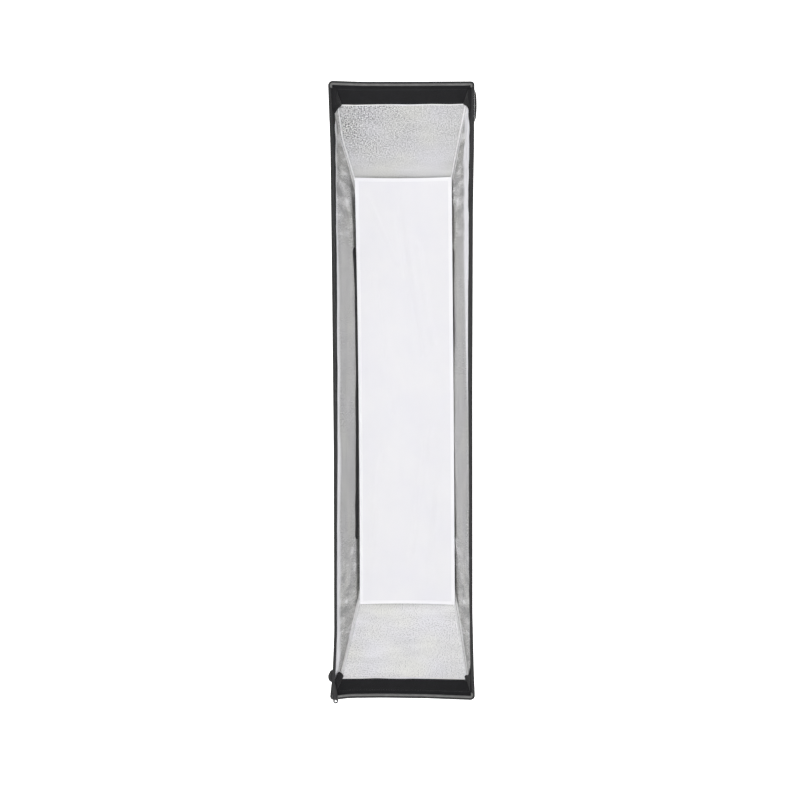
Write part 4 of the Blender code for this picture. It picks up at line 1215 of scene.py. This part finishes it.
def build_seams(corner, sign_x, sign_z):
    """Piping outside the corner seam, the lining's turned edge inside it with a painted highlight,
    and its stitches.
    """
    u = np.linspace(0.002, 1, 160)
    for name, inset, radius, look, slot_name in (
            ("piping", -1.3 * MM, 1.7 * MM, BINDING_DARK, "edge_binding"),
            ("lining_seam", 0.8 * MM, 0.8 * MM, LINING_PAINTED_HIGHLIGHT, "silver_lining")):
        path = warp(box_point(u, inset, inset, sign_x, sign_z))
        seam = sweep(f"{corner}_{name}", path, (sign_x, 0, sign_z), circle(radius, 10), [look])
        trim(seam, f"rod_{corner}")
    for name, from_side, from_top, up in (("side", -WALL - 0.1 * MM, 9 * MM, (sign_x, 0, 0)),
                                          ("end", 9 * MM, -WALL - 0.1 * MM, (0, 0.6, sign_z))):
        path = warp(box_point(u[6:-4], from_side, from_top, sign_x, sign_z))
        sewn = stitches(f"{corner}_seam_stitches_{name}", path, up, THREAD, 4.6 * MM, 3.2 * MM)
        trim(sewn, f"rod_{corner}")


# ---- inner baffle

# Where the baffle's corners are held, as (across, up) in mm
BAFFLE_CORNERS = {"top_left": (-131, 550), "top_right": (119, 550),
                  "bottom_left": (-118, -553), "bottom_right": (127.5, -553)}
BAFFLE_PULLED_IN = {-1: 3.2 * MM, 1: -0.8 * MM}  # each long edge, at mid-height
BAFFLE_END_PULLED_IN = 2.5 * MM       # and each short edge, at mid-width
BAFFLE_CLOTH = 0.4 * MM
HEM = 9 * MM
# Long faint creases of the stretched cloth: ends as (across, up) and height, in mm
BAFFLE_CREASES = (((-15, 440), (45, 90), 2.0), ((30, 380), (75, 120), -1.6),
                  ((-80, 330), (-35, -60), 1.4), ((60, -80), (15, -420), 1.8),
                  ((-95, 500), (-20, 330), -1.6), ((90, -200), (60, -500), -1.4),
                  ((-60, -150), (-95, -480), 1.5), ((-20, 520), (10, 300), 1.4))


def baffle_corner(sign_x, sign_z):
    x, z = BAFFLE_CORNERS[corner_name(sign_x, sign_z)]
    return x * MM, HINGE_Y - BAFFLE_FORWARD, z * MM


def baffle_surface(across, up, lift=0.0):
    """Points of the stretched baffle: across and up go from -1 to 1, lift is towards the mouth."""
    corners = {key: np.array(baffle_corner(*key)) for key in ((-1, -1), (1, -1), (-1, 1), (1, 1))}
    a, b = ((across + 1) / 2)[..., None], ((up + 1) / 2)[..., None]
    points = ((1 - a) * (1 - b) * corners[-1, -1] + a * (1 - b) * corners[1, -1]
              + (1 - a) * b * corners[-1, 1] + a * b * corners[1, 1])
    pull = np.where(across < 0, BAFFLE_PULLED_IN[-1], BAFFLE_PULLED_IN[1])
    points[..., 0] -= np.sign(across) * pull * (1 - up * up) * abs(across)
    end_pull = BAFFLE_END_PULLED_IN * (1 - across * across) * abs(up) ** 6
    points[..., 2] -= np.sign(up) * end_pull
    x, z = points[..., 0], points[..., 2]
    where = np.stack([x * 2.4 + z * 0.35, 0 * x, z * 0.55], axis=-1)
    folds = soft_noise(where, 120 * MM, 40.0) * 1.7 * MM
    folds += soft_noise(where, 42 * MM, 9.0) * 0.45 * MM
    for start, end, height in BAFFLE_CREASES:
        folds += height * MM * ridge(x, z, np.array(start) * MM, np.array(end) * MM, 5 * MM)
    calm = np.clip((1 - abs(up)) * 12, 0, 1) * np.clip((1 - abs(across)) * 5, 0.15, 1)
    points[..., 1] -= folds * calm + lift
    return points


def build_baffle():
    """The white inner baffle, in halves with their hems."""
    across = np.linspace(-1, 1, 47)[:, None]
    up = np.linspace(-1, 1, 221)[None, :]
    points = baffle_surface(across + 0 * up, up + 0 * across)
    whole = grid_sheet(points, points[..., [0, 2]].copy(), (0, 1, 0))
    for sign_z, half in zip((-1, 1), split(whole, (0, 0, 0), (0, 0, 1))):
        side = END_NAMES[sign_z]
        cloth = shell(f"{side}_baffle_cloth", half, BAFFLE_CLOTH, WHITE)
        stand_for(["inner_baffle"])
        hems = build_hems(sign_z)
        declare(cloth, half, [f"rod_{side}_left", f"rod_{side}_right"], with_pieces=hems)
        follow_front(cloth, 1, sign_z, BAFFLE_HALF_HEIGHT)


def build_hems(sign_z):
    """The doubled, stitched edges of half the baffle: a strip along each of its three sides."""
    side = END_NAMES[sign_z]
    inner_x = 1 - HEM / abs(baffle_corner(1, sign_z)[0])
    inner_z = 1 - HEM / abs(baffle_corner(1, sign_z)[2])
    strips = {"end": (np.linspace(-1, 1, 60)[None, :],
                      sign_z * np.linspace(1, inner_z, 5)[:, None])}
    for sign_x in (-1, 1):
        strips[SIDE_NAMES[sign_x]] = (sign_x * np.linspace(1, inner_x, 5)[:, None],
                                      sign_z * np.linspace(0, 1, 110)[None, :])
    made = []
    for name, (across, up) in strips.items():
        across, up = across + 0 * up, up + 0 * across
        points = baffle_surface(across, up, 0.35 * MM if name == "end" else 0.1 * MM)
        sheet = grid_sheet(points, points[..., [0, 2]].copy(), (0, -1, 0))
        hem = shell(f"{side}_baffle_hem_{name}", sheet, 0.5 * MM, WHITE_HEM)
        sewn = stitches(f"{side}_baffle_stitches_{name}", points[3] - (0, 0.5 * MM, 0), (0, -1, 0),
                        WHITE_THREAD, 3.8 * MM, 2.8 * MM, 0.25 * MM)
        for piece in (hem, sewn):
            follow_front(piece, 1, sign_z, BAFFLE_HALF_HEIGHT)
            made.append(piece)
    return made


# ---- collar, flaps and loop

COLLAR_CLOTH = 1.0 * MM
COLLAR_OPENING = (59.5 * MM, 77.5 * MM)
OPENING_POWER = 7                     # its outline is a rectangle with rounded corners
NOTCH_COLUMNS = 1                     # left open on each side of the lock screw, in the cap's band
COLLAR_FOLD = 3 * MM                  # radius of the cap's front edge
COLLAR_PUFF = 0.35 * MM
PUFF_COUNT, GATHER_COUNT, LESSER_GATHER_COUNT = 23, 48, 31  # puckers and gathers round the cap


def collar_rows(angles, inner, radius, front_y, rear_y):
    """(radius, y) of the cap at each angle, row by row: its front, its folded edge, its band. Also
    the number of rows before the band."""
    fold = COLLAR_FOLD
    rows = []
    for share in np.linspace(0, 1, 12):
        puff = COLLAR_PUFF * np.sin(math.pi * share) * abs(np.cos(PUFF_COUNT * angles))
        rows.append((inner * (1 - share) + (radius - fold) * share, front_y + COLLAR_PUFF - puff))
    for a in np.radians((30, 60, 90)):
        rows.append((radius - fold * (1 - math.sin(a)) + 0 * inner,
                     front_y + COLLAR_PUFF + fold * (1 - math.cos(a)) + 0 * inner))
    before_band = len(rows)
    for share in np.linspace(0.12, 1, 12):
        gathers = (0.45 * np.cos(GATHER_COUNT * angles)
                   + 0.3 * np.cos(LESSER_GATHER_COUNT * angles + 1)) * share ** 1.5 * MM
        rows.append((radius + gathers + 0.2 * MM,
                     front_y + fold + (rear_y - front_y - fold) * share + 0 * inner))
    return rows, before_band


def build_collar():
    """A sewn cap over the speedring: gathered by elastic behind, open in front for the rods."""
    low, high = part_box("rear_collar")
    front_y, rear_y, radius = low.y + COLLAR_CLOTH, high.y, high.z - 1.2 * MM
    angles = np.radians(np.linspace(0, 360, 121))
    cos, sin = np.cos(angles), np.sin(angles)
    power = OPENING_POWER
    inner = (abs(cos / COLLAR_OPENING[0]) ** power
             + abs(sin / COLLAR_OPENING[1]) ** power) ** (-1 / power)
    rows, before_band = collar_rows(angles, inner, radius, front_y, rear_y)
    points = np.array([np.stack([r * cos, y, r * sin], axis=-1) for r, y in rows])
    sheet = grid_sheet(points)
    if (sheet.normals * sheet.points).sum(axis=1).mean() < 0:
        sheet = sheet._replace(normals=-sheet.normals, faces=[f[::-1] for f in sheet.faces])
    columns = len(angles)
    notch_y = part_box("lock_screw")[0].y - 2 * MM
    notch_row = next(i for i, (_, y) in enumerate(rows) if i >= before_band and y[0] > notch_y)
    kept = [f for f in sheet.faces if min(f) // columns < notch_row - 1
            or NOTCH_COLUMNS <= min(i % columns for i in f) < columns - 1 - NOTCH_COLUMNS]
    collar = shell("rear_collar_cloth", part_of(sheet, kept), COLLAR_CLOTH, NYLON)
    stand_for(["rear_collar"])

    gap = math.degrees(angles[NOTCH_COLUMNS]) + 1.2
    span = np.radians(np.linspace(gap, 360 - gap, 200))
    band = np.stack([np.cos(span), 0 * span, np.sin(span)], axis=1)
    spokes = np.stack([cos, 0 * cos, sin], axis=1)
    gathered = 1 + 0.004 * np.cos(GATHER_COUNT * span)
    hem = band * ((radius + COLLAR_CLOTH / 2) * gathered)[:, None]
    pieces = [sweep("collar_elastic_hem", hem + (0, rear_y + 0.2 * MM, 0), band,
                    circle(1.5 * MM, 12), [BINDING_DARK]),
              sweep("collar_opening_binding",
                    spokes * inner[:, None] + (0, front_y - 0.3 * MM, 0), spokes,
                    circle(1.3 * MM, 10), [BINDING_DARK]),
              stitches("collar_front_stitches",
                       spokes * (radius - 6 * MM) + (0, front_y - COLLAR_CLOTH + 0.2 * MM, 0),
                       (0, -1, 0), THREAD),
              stitches("collar_band_stitches",
                       band * (radius + 1.7 * MM) + (0, rear_y - 5 * MM, 0), band, THREAD)]
    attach(collar, "speedring")
    for piece in pieces:
        trim(piece, "speedring")


# How far each flap stands off the rim, at mid-height
FLAP_BULGE = {"flap_top_right": 4.3 * MM, "flap_bottom_left": 8.5 * MM}


def build_flaps():
    """Two tabs of tape that stand a little off the rim's side."""
    for name, sign_x in (("flap_top_right", 1), ("flap_bottom_left", -1)):
        low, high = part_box(name)
        width = high.y - low.y
        middle_y = (low.y + high.y) / 2
        share = np.linspace(0, 1, 9)
        heights = low.z + (high.z - low.z) * share
        base = warp([(sign_x * RIM_HALF_WIDTH, middle_y, z) for z in heights], flared=False)
        thick = FLAP_BULGE[name] * np.sin(math.pi * share) ** 0.5 + 1.0 * MM
        path = smooth_path(base, 40)
        thick = np.interp(np.linspace(0, 1, 40), share, thick)
        half = width / 2
        profile = [[(-half, 0), (-half, t - 0.6 * MM), (-half + 0.7 * MM, t), (half - 0.7 * MM, t),
                    (half, t - 0.6 * MM), (half, 0)] for t in thick]
        strap = sweep(f"{name}_webbing", path, (sign_x, 0, 0), profile, [BINDING_DARK])
        stand_for([name])
        path = path + np.stack([sign_x * thick, 0 * thick, 0 * thick], axis=1)
        body = name.replace("flap", "rod")
        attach(strap, body)
        for edge_name, offset in (("front", -0.4), ("rear", 0.4)):
            row = path[2:-2] + (0, offset * width, 0)
            sewn = stitches(f"{name}_stitches_{edge_name}", row, (sign_x, 0, 0), THREAD)
            trim(sewn, body)


LOOP_TAIL_FROM, LOOP_TAIL_TOP = 4.5 * MM, 48 * MM  # above the eyelet: it is sewn over the rim
OVER_RIM_FROM_EYELET = 7 * MM         # by this height it has come out in front of the rim
LOOP_TAIL_LEAN = 5 * MM               # to the left, at its top
LOOP_TAIL_THICKNESS, LOOP_TAIL_TIP = 1.3 * MM, 0.6 * MM  # and half the width of its rounded tip
LOOP_WEBBING = 1.4 * MM
LOOP_SET_BACK = 0.7 * MM              # of the webbing's rear face, from the middle of the CAD's loop
LOOP_TOP = 3 * MM                     # how far the webbing reaches above the CAD's loop


def build_hanging_loop():
    """A folded tab of webbing below the bottom left corner, round its eyelet."""
    low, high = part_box("hanging_loop")
    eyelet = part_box("loop_eyelet")
    x, z = (eyelet[0].x + eyelet[1].x) / 2, (eyelet[0].z + eyelet[1].z) / 2
    hole = (eyelet[1].x - eyelet[0].x) / 2 + 0.1 * MM
    half = (high.x - low.x) / 2
    top = high.z + LOOP_TOP - z
    middle_y = (low.y + high.y) / 2
    rows = []
    for share in np.linspace(0, 1, 7):
        row = []
        for a in np.radians(np.linspace(0, 360, 49)):
            c, s = math.cos(a), math.sin(a)
            reach = half if s < 0.2 else min(half / max(abs(c), 1e-6), top / s)
            r = hole * (1 - share) + reach * share
            row.append((x + r * c, middle_y + LOOP_SET_BACK, z + r * s))
        rows.append(row)
    rows = np.array(rows)
    loop = shell("hanging_loop_webbing", grid_sheet(rows, None, (0, -1, 0)), LOOP_WEBBING,
                 BINDING_DARK)
    stand_for(["hanging_loop"])
    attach(loop, "rod_bottom_left")
    sewn = stitches("hanging_loop_stitches", rows[-2] - (0, LOOP_WEBBING, 0), (0, -1, 0), THREAD,
                    2.6 * MM, 1.8 * MM, 0.25 * MM)
    trim(sewn, "rod_bottom_left")
    build_loop_tail(x, middle_y, z, half)


def build_loop_tail(x, middle_y, z, half_width_below):
    """The loop's upper end: it comes out over the rim, and narrows to a rounded tip."""
    share = np.linspace(0, 1, 28)
    heights = z + LOOP_TAIL_FROM + (LOOP_TAIL_TOP - LOOP_TAIL_FROM) * share
    behind, before = middle_y - LOOP_SET_BACK, FRONT_Y - 0.2 * MM
    over_rim = smoothstep(heights, z + LOOP_TAIL_FROM, z + OVER_RIM_FROM_EYELET)
    path = np.stack([x - LOOP_TAIL_LEAN * share, behind + (before - behind) * over_rim, heights],
                    axis=1)
    tip, thick = LOOP_TAIL_TIP, LOOP_TAIL_THICKNESS
    widths = (half_width_below - tip) * np.sqrt(1 - share ** 2.4) + tip
    profile = [[(-w, 0), (-w + 0.4 * MM, thick), (w - 0.4 * MM, thick), (w, 0)] for w in widths]
    tail = sweep("hanging_loop_tail", path, (0, -1, 0), profile, [BINDING_DARK])
    trim(tail, "rod_bottom_left")


# ---- CAD pieces that show

CAD_LOOKS = {"bayonet_adapter": ANODISED, "retaining_ring": ANODISED, "retaining_screw": ZINC,
             "speedring_body": CAST, "rod_bracket": ZINC, "hinge_pin": ZINC,
             "rod_socket": PLASTIC, "rod_tip": PLASTIC, "lock_knob": PLASTIC, "lock_screw": ZINC,
             "lock_pad": PLASTIC, "loop_eyelet": ANODISED}
ROUNDED_EDGES = {"bayonet_adapter": 0.4 * MM, "retaining_ring": 0.3 * MM,
                 "speedring_body": 0.6 * MM, "rod_bracket": 0.3 * MM, "lock_knob": 0.6 * MM}


def dress_cad_nodes():
    """Gives the CAD pieces that still show their materials, and rounds the hub's metal edges."""
    for name, node in frame["nodes"].items():
        for start, look in CAD_LOOKS.items():
            if name.startswith(start):
                for entry in node.material_slots:
                    entry.material = look
        for start, width in ROUNDED_EDGES.items():
            if name.startswith(start):
                round_edges(node, width)


def round_edges(node, width):
    weld = node.modifiers.new("weld", "WELD")
    weld.merge_threshold = 0.01 * MM
    bevel = node.modifiers.new("bevel", "BEVEL")
    bevel.width, bevel.segments = width, 2
    bevel.limit_method, bevel.angle_limit = "ANGLE", math.radians(50)
    bevel.harden_normals = True


dress_cad_nodes()
for sign in (-1, 1):
    build_end_wall(sign)
    build_side_wall(sign)
    build_side_tapes(sign)
build_rims()
for corner, signs in CORNERS.items():
    build_rod(corner, *signs)
    build_pocket(corner, *signs)
    build_seams(corner, *signs)
build_baffle()
build_collar()
build_flaps()
build_hanging_loop()

# ---- camera, light and floor

scene = bpy.context.scene
LENS, SENSOR = 72.9, 36               # in millimetres, as Blender's cameras are
CAMERA_PLACE = (0.174, FRONT_Y - 4.0, 0.0)
CAMERA_AIM = (-0.006, FRONT_Y, -0.0235)
WORLD_STRENGTH = 0.42
LIGHT_PLACE = (-0.3, FRONT_Y - 4.3, 0.25)
LIGHT_SIZE, LIGHT_POWER = 1.5, 125


def aim(obj, place, target):
    """Puts a camera or a light at a place, looking at a target."""
    scene.collection.objects.link(obj)
    obj.location = place
    obj.rotation_euler = (Vector(target) - Vector(place)).to_track_quat("-Z", "Y").to_euler()


def build_camera():
    data = bpy.data.cameras.new("camera")
    data.lens, data.sensor_width = LENS, SENSOR
    scene.camera = bpy.data.objects.new("camera", data)
    aim(scene.camera, CAMERA_PLACE, CAMERA_AIM)


def build_lights():
    """Even light from all round, and one large lamp beside the camera."""
    scene.view_settings.view_transform = "Standard"
    scene.world = bpy.data.worlds.new("studio")
    scene.world.use_nodes = True
    background = scene.world.node_tree.nodes["Background"]
    background.inputs["Color"].default_value = (1, 1, 1, 1)
    background.inputs["Strength"].default_value = WORLD_STRENGTH
    data = bpy.data.lights.new("front_light", "AREA")
    data.size, data.energy = LIGHT_SIZE, LIGHT_POWER
    aim(bpy.data.objects.new("front_light", data), LIGHT_PLACE, (0, 0, 0))


FLOOR_Z = -1.25
FLOOR_FRONT, FLOOR_BACK = -9, 4       # the level part of the floor, in y
CURVE_RADIUS = 3
BACKDROP_TOP, FLOOR_HALF_WIDTH = 12, 14


def build_floor():
    """A pale floor that curves up into a backdrop far behind."""
    path = [(y, FLOOR_Z) for y in np.linspace(FLOOR_FRONT, FLOOR_BACK, 14)]
    path += [(FLOOR_BACK + CURVE_RADIUS * math.sin(a), FLOOR_Z + CURVE_RADIUS * (1 - math.cos(a)))
             for a in np.radians(np.linspace(6, 90, 15))]
    path.append((FLOOR_BACK + CURVE_RADIUS, BACKDROP_TOP))
    columns = np.linspace(-FLOOR_HALF_WIDTH, FLOOR_HALF_WIDTH, 15)
    grid = np.array([[(x, y, z) for x in columns] for y, z in path])
    look = Look("studio_paper", (0.95, 0.95, 0.95), 0.9, Emission_Color=(1, 1, 1, 1))
    behind = look.node("SeparateXYZ", {"Vector": look.place(by_uv=False)}).outputs["Y"]
    look.give(look.shader.inputs["Emission Strength"], look.ramp(behind, 0.03, 1.0, (-0.3, 0.8)))
    grain = look.noise(look.place(by_uv=False), 40)
    paper = look.finish(None, look.ramp(grain, 0.85, 0.95))
    floor = mesh_object("studio_floor", grid.reshape(-1, 3), grid_faces(*grid.shape[:2]), [paper])


build_camera()
build_lights()
build_floor()
